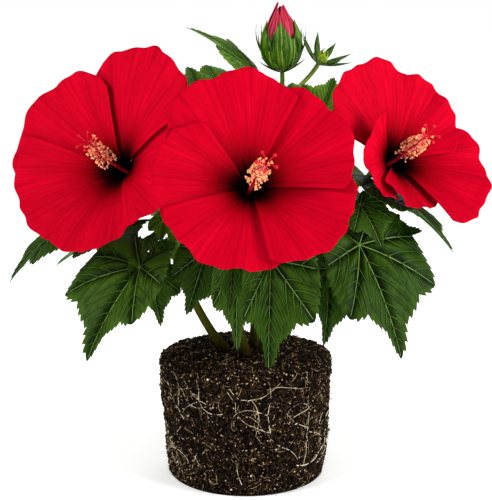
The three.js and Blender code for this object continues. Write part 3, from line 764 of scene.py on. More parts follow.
def placed(points, origin, basis):
    """Points of a part's own frame in the plant's frame."""
    return np.asarray(points) @ basis.T + origin


def funnel(distance, flap):
    """How far out and forward a petal's midline is, at a distance along it from the throat."""
    steps = 24
    narrow, wide, rim = FUNNEL_ANGLES
    out, forward = np.full(np.shape(distance), float(FUNNEL_RADIUS)), np.zeros(np.shape(distance))
    for k in range(steps):
        q = distance * (k + 0.5) / steps / FUNNEL_REACH
        opened = (wide - narrow) * smooth(q / 0.35) + (rim - wide) * smooth((q - 0.45) / 0.55)
        angle = np.radians(narrow + opened - flap * smooth(q / 0.5))
        out = out + np.sin(angle) * distance / steps
        forward = forward + np.cos(angle) * distance / steps
    return out, forward


def petal_point(share, across, bloom, i, claw=0.42):
    """Points of petal i's middle surface; across runs from -1, the edge on top, to 1."""
    margin = 1 - 0.16 * np.abs(across) ** 2.6 + bloom["leans"][i] * across
    distance = share * margin * bloom["lengths"][i]
    out, forward = funnel(distance, bloom["flaps"][i] * smooth((0.3 - across) / 1.3))
    half = PETAL_HALF_ANGLE * (claw + (1 - claw) * smooth(share / 0.45))
    angle = np.radians(90 + 72 * i + half * across)
    twist = -PETAL_TWIST * smooth(share / 0.4) * across
    ruffle = RUFFLE * np.sin(angle * 11) * share**3
    return np.stack([out * np.cos(angle), out * np.sin(angle), forward + twist + ruffle], axis=-1)


ROWS, ACROSS = 54, 46
FULL_CLAW = 0.84  # a petal's width at the throat, wide enough here to close it


def petal_mesh(name, bloom, i, seed):
    """A petal as a closed shell with pleats, a waved margin, and UV: across, and along from the throat."""
    draw = seeded(seed)
    phases = [2 * math.pi * draw() for k in range(4)]
    share, across = np.meshgrid(np.linspace(0.012, 1, ROWS), np.linspace(-1, 1, ACROSS), indexing="ij")
    wave = 1 + 0.012 * np.sin(9 * across + phases[0]) + 0.008 * np.sin(23 * across + phases[1])
    grid = petal_point(share * (1 + (wave - 1) * share**4), across, bloom, i, FULL_CLAW)
    normal = normals_of(grid)
    frill = FRILL * np.sin(21 * across + 4 * share + phases[2]) * share**6
    curl = -1.6 * smooth((share - 0.86) / 0.14) * (0.5 + 0.5 * np.sin(5 * across + phases[3]))
    pleat = PLEAT * np.sin(across * 46 + 3 * np.sin(4 * share)) * smooth(share / 0.2) * (1 - 0.5 * share)
    grid = grid + normal * (frill + curl + pleat)[..., None]
    normal = normals_of(grid)
    thick = 0.5 * PETAL_THICKNESS * (1 - 0.5 * share[..., None] ** 4)
    points, faces = shell(grid + normal * thick, grid - normal * thick)
    reach = share * bloom["lengths"][i] / FUNNEL_REACH
    uv = np.stack([across * 0.5 + 0.5, reach], axis=-1).reshape(-1, 2)
    made = Heap()
    made.add(placed(points, bloom["throat"], bloom["basis"]), faces, 0, np.concatenate([uv, uv]))
    return made.mesh(name, [PETAL])


# %% [markdown]
# A petal is living tissue full of red sap, with a bloom of tiny cells that scatters light as velvet does:
# hence a matt red with hardly any shine. Towards the throat the sap is so deep that it looks maroon and then
# black, and the dark runs out along the veins. The UV's second number is the distance from the throat, so
# the eye has the same size in each petal; the first, stretched, makes streaks that fan out.


# %% Petal tissue
MULTIPLY = {"data_type": "RGBA", "blend_type": "MULTIPLY"}  # settings of a Mix node


def petal_colour(tree):
    uv = add(tree, "ShaderNodeTexCoord").outputs["UV"]
    along = add(tree, "ShaderNodeSeparateXYZ", links={0: uv}).outputs[1]
    veins = {"Scale": 1.0, "Detail": 3.0, "Roughness": 0.6}
    fan = add(tree, "ShaderNodeMapping", {"Scale": (38, 1.1, 1)}, {"Vector": uv}).outputs[0]
    streak = add(tree, "ShaderNodeTexNoise", veins, {"Vector": fan}).outputs["Fac"]
    broad = add(tree, "ShaderNodeMapping", {"Scale": (6, 2.2, 1)}, {"Vector": uv}).outputs[0]
    cloud = add(tree, "ShaderNodeTexNoise", veins, {"Vector": broad}).outputs["Fac"]
    bleed = add(tree, "ShaderNodeMath", {1: -0.2}, {0: streak}, operation="MULTIPLY").outputs[0]
    reach = add(tree, "ShaderNodeMath", links={0: along, 1: bleed}, operation="ADD").outputs[0]
    dark = (0.0, "#050001"), (0.1, "#0c0001"), (0.16, "#360004"), (0.23, "#78000a")
    eye = tinted(tree, reach, *dark, (0.34, "#ac0018"), (0.48, "#c20022"))
    lines = tinted(tree, streak, (0.36, "#dccfcf"), (0.5, "#f2eaea"), (0.62, "#ffffff"))
    patches = tinted(tree, cloud, (0.3, "#e6dcdc"), (0.7, "#ffffff"))
    both = add(tree, "ShaderNodeMix", {0: 1.0}, {6: lines, 7: patches}, **MULTIPLY).outputs[2]
    return add(tree, "ShaderNodeMix", {0: 1.0}, {6: eye, 7: both}, **MULTIPLY).outputs[2]


def petal_veins(tree):
    uv = add(tree, "ShaderNodeTexCoord").outputs["UV"]
    fan = add(tree, "ShaderNodeMapping", {"Scale": (55, 2, 1)}, {"Vector": uv}).outputs[0]
    values = {"Scale": 1.0, "Detail": 3.0}
    return add(tree, "ShaderNodeTexNoise", values, {"Vector": fan}).outputs["Fac"], 0.9


PETAL = finish(
    "red_petal_tissue",
    petal_colour,
    petal_veins,
    roughness=0.6,
    specular_ior_level=0.01,
)

for side, bloom in BLOOMS.items():
    for i in range(5):
        name = f"bloom_{side}_petal_{i + 1}"
        mesh = petal_mesh(name, bloom, i, 200 + 10 * len(side) + i)
        hand_over(name + "_tissue", mesh, "petal", name)

# %% [markdown]
# ## The column
# The middle of a hibiscus bloom is one red tube. Stamens stand out all round its outer half, each a thin
# filament with a kidney-shaped anther full of apricot pollen, and five styles with round red pads leave its
# tip. The tube and styles are limbs. The stamens are strewn over the tube by the second tree: filaments and
# anthers use the same seed, so each anther lands on its own filament.

# %% Column, stamens and styles
COLUMN_LENGTH = 76
COLUMN_RADIUS = 1.9
COLUMN_FLESH = dull("column_flesh", "#8c0a16", "#c8202c", 9, 0.45)
FILAMENT = dull("filament_flesh", "#d8424a", "#f08a78", 2, 0.5)
POLLEN = dull("apricot_pollen", "#e08048", "#ffc890", 1.5, 0.8)
STIGMA = dull("stigma_velvet", "#a00818", "#d6202e", 2, 0.7)
FILAMENT_LENGTH = 5.2


def filament_shape():
    rise = np.linspace(-0.4, FILAMENT_LENGTH, 4)
    points = np.stack([0.06 * rise**2 / FILAMENT_LENGTH, 0 * rise, rise], axis=-1)
    return limbs([(points, 0.3)], FILAMENT, sides=4)


def anther_shape():
    """A kidney: a bead bent round the end of its filament."""
    bend = np.linspace(-1.9, 1.9, 6)
    rise = FILAMENT_LENGTH + 0.9 - 0.7 * np.cos(bend)
    points = np.stack([0.9 * np.sin(bend) + 0.3, 0 * bend, rise], axis=-1)
    return limbs([(points, np.array([0.35, 0.62, 0.72, 0.72, 0.62, 0.35]))], POLLEN, sides=5)


def column_line(bloom, u):
    """The tube's centre line in the bloom's frame: straight, with a slight bend to one side at its end."""
    right, up = bloom["column"]
    return bezier([(0, 0, 0.6), (0, 0, 0.5 * COLUMN_LENGTH), COLUMN_LENGTH * np.array([right, up, 0.86])], u)


def column_meshes(bloom, seed):
    u = np.linspace(0, 1, 30)
    centre = placed(column_line(bloom, u), bloom["throat"], bloom["basis"])
    tube = limbs([(centre, COLUMN_RADIUS * (1 - 0.45 * u))], COLUMN_FLESH, sides=14, relief=0.2)
    start, end = centre[0], centre[-1]
    places = np.array([vertex.co for vertex in tube.vertices]) / MM
    share = (places - start) @ (end - start) / ((end - start) @ (end - start))
    fertile = smooth((share - 0.48) / 0.08) * smooth((0.985 - share) / 0.02)
    strew = (fertile, 44, seed, (0.8, 1.4), 24)
    filaments = litter(tube, filament_shape(), *strew, FILAMENT)
    anthers = litter(tube, anther_shape(), *strew, POLLEN)
    styles, pads = [], Heap()
    for k in range(5):
        out = direction(72 * k + 20, 42)
        tip = column_line(bloom, 1.0) + COLUMN_LENGTH * 0.16 * out
        bow = column_line(bloom, 1.0) + COLUMN_LENGTH * 0.1 * direction(72 * k + 20, 80)
        line = bezier([column_line(bloom, 0.985), bow, tip], np.linspace(0, 1, 9))
        styles.append((placed(line, bloom["throat"], bloom["basis"]), 0.5))
        pads.add(*bead(placed(tip, bloom["throat"], bloom["basis"]), 1.8, bloom["basis"]))
    return tube, filaments, anthers, limbs(styles, STIGMA, sides=6), pads.mesh("pads", [STIGMA])


def bead(centre, radius, basis, squash=0.75):
    """A small round pad of 8 by 5 faces."""
    rings = []
    for tilt in np.linspace(-82, 82, 6):
        ring = [direction(45 * k, tilt) * radius * np.array([1, 1, squash]) for k in range(8)]
        rings.append(placed(ring, centre, basis))
    rings = np.array(rings)
    return rings.reshape(-1, 3), skin(rings)


for number, (side, bloom) in enumerate(BLOOMS.items()):
    tube, filaments, anthers, styles, pads = column_meshes(bloom, 31 + number)
    red_parts = joined([tube, styles, pads, filaments])
    hand_over(f"bloom_{side}_column_flesh", red_parts, "pollen", f"bloom_{side}_column")
    hand_over(f"bloom_{side}_anthers", anthers, "pollen", f"bloom_{side}_column")

# %% [markdown]
# ## Calyces and buds
# Behind each bloom sits a green cup with five pointed lobes, and round it a ring of thin bracts. The bud
# about to open has the same cup, fatter and ribbed, closed over furled petals. A cup is a skin that runs up
# the outside, over the lobes' edge and down the inside. Its edge rises and falls with the angle, and ribs
# stand out along the middle of each lobe and where two lobes meet.

# %% Cups, bracts and green tissue
SEPAL = finish(
    "sepal_tissue",
    lambda tree: tinted(
        tree, grain(tree, 1000, 3, "UV", (46, 1.6, 1)), (0.36, "#183400"), (0.5, "#325a04"), (0.66, "#608418")
    ),
    lambda tree: (grain(tree, 1000, 2, "UV", (70, 3, 1)), 0.4),
    roughness=0.5,
    specular_ior_level=0.15,
)
RIDGE = dull("sepal_ridge", "#5c7c1e", "#8aa444", 5, 0.55)
BRACT = dull("bract_tissue", "#1c3a06", "#44681a", 8, 0.5)
YOUNG_SEPAL = dull("young_sepal_tissue", "#5f7c10", "#98b034", 5, 0.5)
FURLED = finish(
    "furled_petal_tissue",
    lambda tree: tinted(
        tree, grain(tree, 1000, 3, "UV", (14, 1.2, 1)), (0.36, "#7a081c"), (0.5, "#a81634"), (0.64, "#cc3e5c")
    ),
    lambda tree: (grain(tree, 1000, 2, "UV", (30, 2, 1)), 0.5),
    roughness=0.45,
    specular_ior_level=0.15,
)


RIDGE_WIDTH = 0.05  # of half a lobe: the pale ribs along lobes' middles and margins


def cup_mesh(name, profile, tip, valley, wall, origin, basis, floor, ribs=0.6, skins=(SEPAL, RIDGE)):
    """A lobed cup: profile gives the radius at each height, and the edge runs between tip and valley."""
    around, rows = 120, 26
    angle = np.linspace(0, 2 * math.pi, around, endpoint=False)
    lobe = np.abs(((angle * 5 / (2 * math.pi)) + 0.5) % 1 - 0.5) * 2  # 0 on a lobe's middle, 1 between lobes
    edge = valley + (tip - valley) * (1 - lobe) ** 1.15
    heights, radii = np.array(profile, float).T
    up = np.linspace(0, 1, rows)[:, None]
    z = heights[0] + (edge - heights[0]) * up
    middle_rib = np.exp(-((lobe / 0.1) ** 2))
    seam_rib = 0.8 * np.exp(-(((1 - lobe) / 0.1) ** 2))
    rib = ribs * (middle_rib + seam_rib + 0.25 * np.cos(angle * 30))
    out = np.interp(z, heights, radii) + rib * smooth(up * 3)
    inner = np.maximum(out - wall * (1 - 0.6 * up), 0.4)
    lining = [k for k in range(rows - 1, 0, -1) if z[k].max() > floor]
    radius = np.concatenate([out, inner[lining]])
    level = np.concatenate([z, np.maximum(z[lining] - 0.3, floor)])
    rings = placed(np.stack([radius * np.cos(angle), radius * np.sin(angle), level], axis=-1), origin, basis)
    uv = np.stack(np.broadcast_arrays(angle / (2 * math.pi), np.linspace(0, 2, len(rings))[:, None]), axis=-1)
    faces = skin(rings)
    on_rib = np.minimum(lobe, 1 - lobe) < RIDGE_WIDTH
    outside = (rows - 1) * around
    kinds = [int(f < outside and f > 4 * around and bool(on_rib[f % around])) for f in range(len(faces))]
    made = Heap()
    made.add(rings.reshape(-1, 3), faces, kinds, uv.reshape(-1, 2))
    return made.mesh(name, skins)


def blade_mesh(name, lines, material):
    """Narrow pointed blades from (points, widths, facing) triples, each a closed leaf-like strip."""
    made = Heap()
    for points, widths, facing in lines:
        along = np.gradient(points, axis=0)
        side = np.cross(facing, along)
        side /= np.linalg.norm(side, axis=1, keepdims=True)
        lift = np.cross(along, side)
        lift /= np.linalg.norm(lift, axis=1, keepdims=True)
        w = np.asarray(widths)[:, None]
        wide, high = side * w, lift * 0.4 * w
        rings = np.stack([points + wide, points + high, points - wide, points - high], axis=1)
        made.add(rings.reshape(-1, 3), skin(rings))
    return made.mesh(name, [material])


def bract_ring(count, start, end, width, origin, basis, seed, bow=0.25):
    """Bracts round a cup, each from (radius, height) start to end with a bow outwards."""
    draw = seeded(seed)
    lines = []
    for k in range(count):
        out = direction(360 * k / count + 12 + 14 * (draw() - 0.5), 0)
        low = out * start[0] + np.array([0, 0, start[1]])
        high = out * end[0] + np.array([0, 0, end[1]]) * (0.85 + 0.25 * draw())
        middle = (low + high) / 2 + out * bow * np.linalg.norm(high - low)
        points = placed(bezier([low, middle, high], np.linspace(0, 1, 9)), origin, basis)
        u = np.linspace(0, 1, 9)
        widths = width * (0.45 + 1.1 * np.sin(math.pi * u**0.7)) * (1 - u**4) + 0.05
        lines.append((points, widths, basis @ out))
    return lines


profile = [(-CALYX_DEPTH + 0.3, 2.2), (-19, 3.2), (-14, 4.6), (-8, 7.2)]
profile += [(-1, 9.8), (4, 12.4), (10, 16), (17, 21)]
for side, bloom in BLOOMS.items():
    name = f"bloom_{side}_calyx"
    cup = cup_mesh("cup", profile, 16, 1, 0.8, bloom["throat"], bloom["basis"], -14)
    ring = bract_ring(9, (4.0, -14), (15.5, 1), 0.75, bloom["throat"], bloom["basis"], 60 + len(side))
    hand_over(name + "_sepals", joined([cup, blade_mesh("bracts", ring, BRACT)]), "calyx", name)

# %% [markdown]
# The furled petals of the bud are five pointed sheets wound round one another. Each covers more than a
# third of the cone and swells outwards from one edge to the other, so that its far edge lies on its
# neighbour. Two of the tips stand higher than the rest.

# %% The bud about to open
BUDS = {
    "top": {"base": np.array([36.0, 40, 399]), "axis": direction(-110, 83)},
    "side": {"base": np.array([71.0, 38, 406]), "axis": direction(-35, 58)},
    "back": {"base": np.array([-12.0, 92, 318]), "axis": direction(95, 50)},
}
for bud in BUDS.values():
    bud["basis"] = basis_along(bud["axis"])


def furled_mesh(name, origin, basis):
    """Five sheets wound round a cone."""
    heights = [8, 10, 18, 28, 40, 50, 60, 68]
    radii = [4, 9.5, 16.2, 18.4, 16.4, 12.6, 7.4, 3.4]
    tops = (66, 64, 68.5, 63, 65)
    made = Heap()
    for k, top in enumerate(tops):
        up, across = np.meshgrid(np.linspace(0, 1, 34), np.linspace(-1, 1, 26), indexing="ij")
        edge = top - (top - 40) * np.abs(across) ** 3.6
        z = 9 + (edge - 9) * up
        angle = np.radians(72 * k + 62 * across * (1 - 0.35 * smooth((z - 44) / 24)) + 0.55 * z)
        r = np.interp(z, heights, radii) - 1.3 + 1.25 * across + 0.35 * np.sin(across * 17) * smooth(up * 2)
        grid = np.stack([r * np.cos(angle), r * np.sin(angle), z], axis=-1)
        normal = normals_of(grid)
        points, faces = shell(grid + normal * 0.2, grid - normal * 0.2)
        uv = np.stack([across * 0.5 + k, up], axis=-1).reshape(-1, 2)
        made.add(placed(points, origin, basis), faces, 0, np.concatenate([uv, uv]))
    return made.mesh(name, [FURLED])


top = BUDS["top"]
profile = [(0.3, 2.4), (2, 6), (5, 11.8), (9, 15.8), (14, 18.8)]
profile += [(20, 20.6), (26, 21.2), (34, 20.2), (42, 17.8), (51, 13.4)]
cup = cup_mesh("cup", profile, 52, 34, 0.9, top["base"], top["basis"], 9, 0.75)
ring = bract_ring(10, (6.5, 3), (23.5, 46), 1.5, top["base"], top["basis"], 64, 0.3)
low_ring = bract_ring(7, (3, 0), (25, 15), 1.5, top["base"], top["basis"], 65, 0.12)
bracts = blade_mesh("bracts", ring + low_ring, BRACT)
hand_over("bud_top_sepals", joined([cup, bracts]), "calyx", "bud_top_calyx")
furled = furled_mesh("furled", top["base"], top["basis"])
hand_over("bud_top_furled_petals", furled, "bud_petal", "bud_top_petals")

# %% [markdown]
# The small buds are closed green eggs inside a star of long leafy bracts. Their five sepals still touch, so
# the egg is a cup whose lobes nearly meet at the top.


# %% Small buds
def small_bud(name, bud, size, seed):
    swelling = [(size * 0.2, size * 0.3), (size * 0.5, size * 0.42), (size * 0.8, size * 0.34)]
    profile = [(0.3, 1.6), *swelling, (size * 1.25, 2)]
    tip, valley, floor = size * 1.25, size * 0.8, size * 0.3
    skins = YOUNG_SEPAL, RIDGE
    egg = cup_mesh("egg", profile, tip, valley, 0.5, bud["base"], bud["basis"], floor, 0.3, skins)
    start, end = (size * 0.25, size * 0.15), (size * 2, size * 1.5)
    bracts = bract_ring(8, start, end, 2.4, bud["base"], bud["basis"], seed, 0.1)
    hand_over(name + "_sepals", joined([egg, blade_mesh("bracts", bracts, BRACT)]), "calyx", name)


small_bud("bud_side", BUDS["side"], 15, 71)
small_bud("bud_back", BUDS["back"], 16, 72)

# %% [markdown]
# ## The stems
# Five green stems rise from the ball, each along its own curve to a bloom or a bud, from a flared foot to a
# thin tip. They are limbs with a little relief. Where a leaf leaves, a real stem swells, so its radius grows
# there by nearly a millimetre. The skin is green with brown freckles, browner at the foot.

# %% The curves of the stems
STEM_FOOT_RADIUS = 4.6
STEM_TIP_RADIUS = 2.2
ROOT_FLARE = 1.35
LEG_END = 0.3
STEM_START = BALL_HEIGHT + 0.3


def approach(carried, distance):
    """A point behind what a stem carries, on its axis."""
    return carried["base"] - carried["axis"] * distance


def stem_curve(foot, lean, carried, distance):
    return np.array([(*foot, STEM_START), lean, approach(carried, distance), carried["base"]])


STEMS = {
    "left": stem_curve((-21, 3), (-90, 12, 215), BLOOMS["left"], 42),
    "middle": stem_curve((0, -15), (-22, -10, 205), BLOOMS["middle"], 45),
    "right": stem_curve((15, -2), (62, 10, 200), BLOOMS["right"], 42),
    "bud": stem_curve((7, 14), (12, 26, 200), BUDS["top"], 60),
    "back": stem_curve((-9, 20), (-16, 48, 180), BUDS["back"], 50),
}


def stem_radius(u):
    taper = STEM_FOOT_RADIUS + (STEM_TIP_RADIUS - STEM_FOOT_RADIUS) * u
    return taper + STEM_FOOT_RADIUS * (ROOT_FLARE - 1) * (1 - smooth(u / 0.08))


def stem_skin(tree):
    height = add(tree, "ShaderNodeTexCoord").outputs["Object"]
    z = add(tree, "ShaderNodeSeparateXYZ", links={0: height}).outputs[2]
    span = {1: BALL_HEIGHT * MM, 2: (BALL_HEIGHT + 130) * MM}
    up = add(tree, "ShaderNodeMapRange", span, {0: z}).outputs[0]
    green = tinted(tree, up, (0.0, "#241a04"), (0.22, "#4e4c08"), (1.0, "#506e14"))
    freckles = tinted(tree, grain(tree, 1.6, 3, stretch=(1, 1, 0.3)), (0.34, "#9a8460"), (0.5, "#ffffff"))
    return add(tree, "ShaderNodeMix", {0: 0.8}, {6: green, 7: freckles}, **MULTIPLY).outputs[2]


STEM = finish(
    "hibiscus_stem_skin",
    stem_skin,
    lambda tree: (grain(tree, 1.2, 3, stretch=(1, 1, 0.25)), 0.3),
    roughness=0.6,
    specular_ior_level=0.03,
)

# %% [markdown]
# ## Leaves: where they are
# The leaves that shape the front are listed one by one: where the blade joins its stalk, how long it is,
# where it points, how far it hangs and where it faces. All others grow by a rule. Each stem tries one leaf
# after another, a golden share round from the last, and keeps a leaf only if its blade and stalk stay clear
# of every bloom, bud, stem and leaf that is there already.

# %% Leaves and the room they need
LEAF_DROOP = 25
LEAF_FOLD = 18
SOLID_THICKNESS = 1.4  # of a blade in the solid model, where its stalk joins it
SKIP_DISTANCE = 12
OWN_DISTANCE = 8
OUTLINE = [(0, 1), (10, 0.74), (31, 0.66), (46, 0.78), (82, 0.6), (135, 0.44), (180, 0.09)]


def make_leaf(stem, joint, length, heading, hang, face, left=1, right=1):
    """A leaf: its joint, and a basis of the way it points, its left side and the way its face looks."""
    along = direction(heading, -hang)
    out = direction(face, 40)
    out = unit(out - out @ along * along)
    basis = np.stack([along, np.cross(out, along), out], axis=1)
    joint = np.asarray(joint, float)
    return {"stem": stem, "joint": joint, "length": length, "halves": (left, right), "basis": basis}


def lay(leaf, flat, lift):
    """Points of a leaf from shares of its length (x along the midrib, y to its left) and a lift in mm."""
    length = leaf["length"]
    x, y = flat[..., 0] * length, flat[..., 1] * length * np.where(flat[..., 1] > 0, *leaf["halves"])
    bend = math.radians(LEAF_DROOP) / length
    half = np.abs(y)
    fold = half * math.sin(math.radians(LEAF_FOLD)) - half * half * 0.6 / length
    z = fold - (1 - np.cos(bend * x)) / bend + lift
    bent = np.stack([np.sin(bend * x) / bend, y * math.cos(math.radians(LEAF_FOLD)), z], axis=-1)
    return placed(bent, leaf["joint"], leaf["basis"])


def on_leaf(leaf, angle, share, lift=0.0):
    a = np.radians(np.asarray(angle, float))
    return lay(leaf, np.stack([share * np.cos(a), share * np.sin(a)], axis=-1), lift)


def attach_share(stem, joint):
    """Where a stalk leaves its stem: as far below the blade's joint as suits its length."""
    best, least = LEG_END + 0.03, math.inf
    u = LEG_END + 0.03
    while u < 0.93:
        p = bezier(STEMS[stem], u)
        flat = math.hypot(joint[0] - p[0], joint[1] - p[1])
        miss = abs(joint[2] - p[2] - 0.4 * flat) + 0.2 * flat
        if miss < least:
            best, least = u, miss
        u += 0.02
    return best


def stalk_points(leaf, u):
    start = bezier(STEMS[leaf["stem"]], leaf["share"])
    middle = (start + leaf["joint"]) / 2
    middle[2] += 0.12 * np.linalg.norm(leaf["joint"] - start)
    end = on_leaf(leaf, 0, 0.04) - 0.2 * SOLID_THICKNESS * leaf["basis"][:, 2]
    return bezier([start, middle, end], u)


def samples(leaf):
    """Points spread over a leaf's blade and along its stalk."""
    leaf["share"] = attach_share(leaf["stem"], leaf["joint"])
    rim = []
    for (angle, far), (next_angle, next_far) in zip(OUTLINE, OUTLINE[1:] + OUTLINE[-1:]):
        rim += [(angle, far), ((angle + next_angle) / 2, (far + next_far) / 2)]
    shares = (0.2, 0.4, 0.6, 0.8, 1)
    angles, reaches = zip(*[(side * a, s * r) for a, r in rim for s in shares for side in (-1, 1)])
    stalk = stalk_points(leaf, np.array([0.1, 0.2, 0.3, 0.45, 0.6, 0.75, 0.9]))
    return {"blade": on_leaf(leaf, angles, np.array(reaches)), "petiole": stalk}


taken = []  # what a leaf has to keep clear of: owner, kind and points
for bloom in BLOOMS.values():
    a, b = np.meshgrid(np.arange(1, 8) / 7, np.arange(7) / 3 - 1)
    for i in range(5):
        spread = petal_point(a, b, bloom, i).reshape(-1, 3)
        taken.append(("bloom", "petal", placed(spread, bloom["throat"], bloom["basis"])))
for carried in [*BUDS.values(), *BLOOMS.values()]:
    for up in (2, 14):
        ring = np.array([direction(60 * k, 0) for k in range(6)]) * (0.9 * up + 3)
        taken.append(("cup", "calyx", carried["base"] + carried["axis"] * up + ring))
for name, curve in STEMS.items():
    taken.append((name, "stem", bezier(curve, np.arange(41) / 40)))


def has_room(owner, spread, others=SKIP_DISTANCE, own=OWN_DISTANCE):
    """Blades keep off blades of their own mass, and everything keeps off the other masses."""
    for kind, points in spread.items():
        for other, what, there in taken:
            if other == owner and (kind != "blade" or what != "blade"):
                continue
            nearest = np.linalg.norm(points[:, None] - there[None], axis=-1).min()
            if nearest <= (own if other == owner else others):
                return False
    return True


def keep_leaf(leaf, spread):
    LEAVES.append(leaf)
    for kind, points in spread.items():
        taken.append((leaf["stem"], kind, points))


# %% [markdown]
# The rule draws the same numbers in the same order as the solid model does, so both grow the same leaves.

# %% The leaves of the plant
# Stem, joint's bearing, reach and height, length, where it points, hangs and faces, and both halves' widths.
FRONT_LEAVES = [
    ("left", -148, 117, 222, 101, -138, 41, -118, 0.62, 1.1),
    ("left", -150, 110, 220, 58, -48, 58, -62, 0.9, 0.6),
    ("left", -177, 170, 255, 87, 186, 31, 190, 1, 1),
    ("middle", -128, 60, 236, 66, -128, 62, -75, 0.9, 0.7),
    ("middle", -98, 94, 243, 56, -85, 73, -60, 0.6, 0.6),
    ("middle", -94, 76, 236, 92, -112, 74, -110, 0.5, 0.45),
    ("middle", -78, 108, 238, 101, -96, 67, -95, 0.76, 0.42),
    ("right", -22, 84, 214, 76, -85, 56, -50, 0.85, 0.6),
    ("right", -32, 124, 244, 114, -42, 54, -66, 1, 0.72),
    ("right", -9, 128, 240, 46, -25, -24, -50, 1, 1),
    ("right", -30, 122, 281, 46, -52, 40, -68, 1, 0.9),
    ("right", -4, 130, 286, 99, -36, 18, -15, 1, 1),
    ("bud", 76, 34, 392, 86, 172, -50, -15, 0.7, 0.7),
    ("bud", 144, 50, 368, 58, 114, -50, -60, 1, 1),
    ("bud", 20, 76, 352, 52, 40, -60, -60, 1, 1),
    ("back", 108, 74, 372, 62, 172, -22, -78, 1, 1),
]
GROWN_LEAVES = {  # each stem's tries, and the bearings between which they point
    "left": (34, 55, 215),
    "right": (34, -40, 125),
    "bud": (40, -30, 215),
    "back": (40, -20, 200),
    "middle": (8, 20, 160),
}
REACH = {"least": 24, "low": 44, "spread": 18, "rise": 22}
LENGTH = {"top": 60, "low": 30, "spread": 16}
HANG = {"least": 12, "spread": 42}
HEADING_SPREAD = 50
SPACE = {"front": -18, "radius": 205, "low": 170, "high": 420}


def in_space(points):
    x, y, z = points.T
    between = (z > SPACE["low"]) & (z < SPACE["high"])
    return (between & (y > SPACE["front"]) & (np.hypot(x, y) < SPACE["radius"])).all()


def grown_leaf(stem, k, draw):
    """A stem's leaf number k: each is a golden share round from the last, and further up."""
    count, first, last = GROWN_LEAVES[stem]
    up = (k + 0.5) / count
    root = bezier(STEMS[stem], 0.34 + 0.6 * up)
    bearing = first + (last - first) * (k * GOLDEN_SHARE % 1)
    reach = REACH["least"] + REACH["low"] * (1 - up) * draw() + REACH["spread"] * draw()
    length = LENGTH["top"] + LENGTH["low"] * (1 - up) + LENGTH["spread"] * (draw() - 0.5)
    joint = root + direction(bearing, REACH["rise"]) * reach
    hang = HANG["least"] + HANG["spread"] * draw()
    heading = bearing + HEADING_SPREAD * (draw() - 0.5)
    return make_leaf(stem, joint, length, heading, hang, heading)


LEAVES = []
for stem, bearing, reach, height, *rest in FRONT_LEAVES:
    joint = direction(bearing, 0) * reach + np.array([0, 0, height])
    leaf = make_leaf(stem, joint, *rest)
    keep_leaf(leaf, samples(leaf))
streams = {stem: seeded(40 + i) for i, stem in enumerate(GROWN_LEAVES)}
for k in range(max(count for count, first, last in GROWN_LEAVES.values())):
    for stem, draw in streams.items():
        if k < GROWN_LEAVES[stem][0]:
            leaf = grown_leaf(stem, k, draw)
            spread = samples(leaf)
            if all(in_space(points) for points in spread.values()) and has_room(stem, spread):
                keep_leaf(leaf, spread)
print({stem: sum(leaf["stem"] == stem for leaf in LEAVES) for stem in STEMS}, "leaves")

# %% [markdown]
# ## Leaves: what they are
# A hibiscus leaf has five lobes, teeth that point towards each lobe's tip, and veins that leave the stalk
# like fingers. One pattern, in shares of a leaf's length, serves all of them. It is a fan of rings round the
# joint, from a plain outline inside to the toothed rim. The veins are lines in the same shares, and each
# point of the blade knows how far it is from the nearest vein, because the blade puffs up between veins.

# %% The pattern of a leaf
TOOTH = 0.075
TOOTH_RISE = 0.032
TOOTH_SHAPE = [(0, 0, 0), (0.12, -0.06, 1), (0.45, 0.4, 0.62)]  # along the rim, along the tooth, and out
TIP_WITHOUT_TEETH = 0.1
BULGE = 0.05
LOBE_TIPS = (0, 3, 4)  # corners of the outline
EDGE_THAT_CLIMBS = 2  # from a notch to a lobe's tip; along the others the tip comes first
RINGS = (0.06, 0.12, 0.19, 0.26, 0.33, 0.4, 0.47, 0.54, 0.61, 0.68, 0.75, 0.81, 0.87, 0.92, 0.965, 1)
FINGERS = ((0, 0.97), (46, 0.75), (82, 0.56), (135, 0.38))  # the main veins: angle, and how far they run
FINGER_SIDES = {  # where side veins leave each of them
    0: (0.16, 0.28, 0.4, 0.52, 0.63, 0.73, 0.82),
    46: (0.26, 0.4, 0.53),
    82: (0.24, 0.38),
    135: (),
}
SIDE_VEIN_TURN = 42


def half_rim():
    """The rim from the tip round the left side to the joint, plain and toothed."""
    corners = [r * direction(a, 0)[:2] for a, r in OUTLINE]
    plain, toothed = [], []
    for i, (here, there) in enumerate(zip(corners, corners[1:])):
        span = there - here
        size = np.linalg.norm(span)
        out = np.array([span[1], -span[0]]) / size
        count = max(round(size / TOOTH), 1)
        steps = []
        for k in range(count):
            steps += [((k + t) / count, (k + lean) / count, rise) for t, lean, rise in TOOTH_SHAPE]
        if i == EDGE_THAT_CLIMBS:
            steps = [(0, 0, 0)] + [(1 - s, 1 - lean, rise) for s, lean, rise in steps[:0:-1]]
        for s, lean, rise in steps:
            bulge = out * BULGE * size * math.sin(math.pi * s)
            point = here + span * s + bulge
            whole = smooth(min(np.linalg.norm(point - corners[tip]) for tip in LOBE_TIPS) / TIP_WITHOUT_TEETH)
            plain.append(point)
            toothed.append(point + whole * (span * (lean - s) + out * TOOTH_RISE * rise))
    return [np.array(rim + [corners[-1]]) for rim in (plain, toothed)]


def both_halves(half):
    return np.concatenate([half, half[-2:0:-1] * (1, -1)])


PLAIN_RIM, TOOTHED_RIM = [both_halves(half) for half in half_rim()]
RIM = len(PLAIN_RIM)


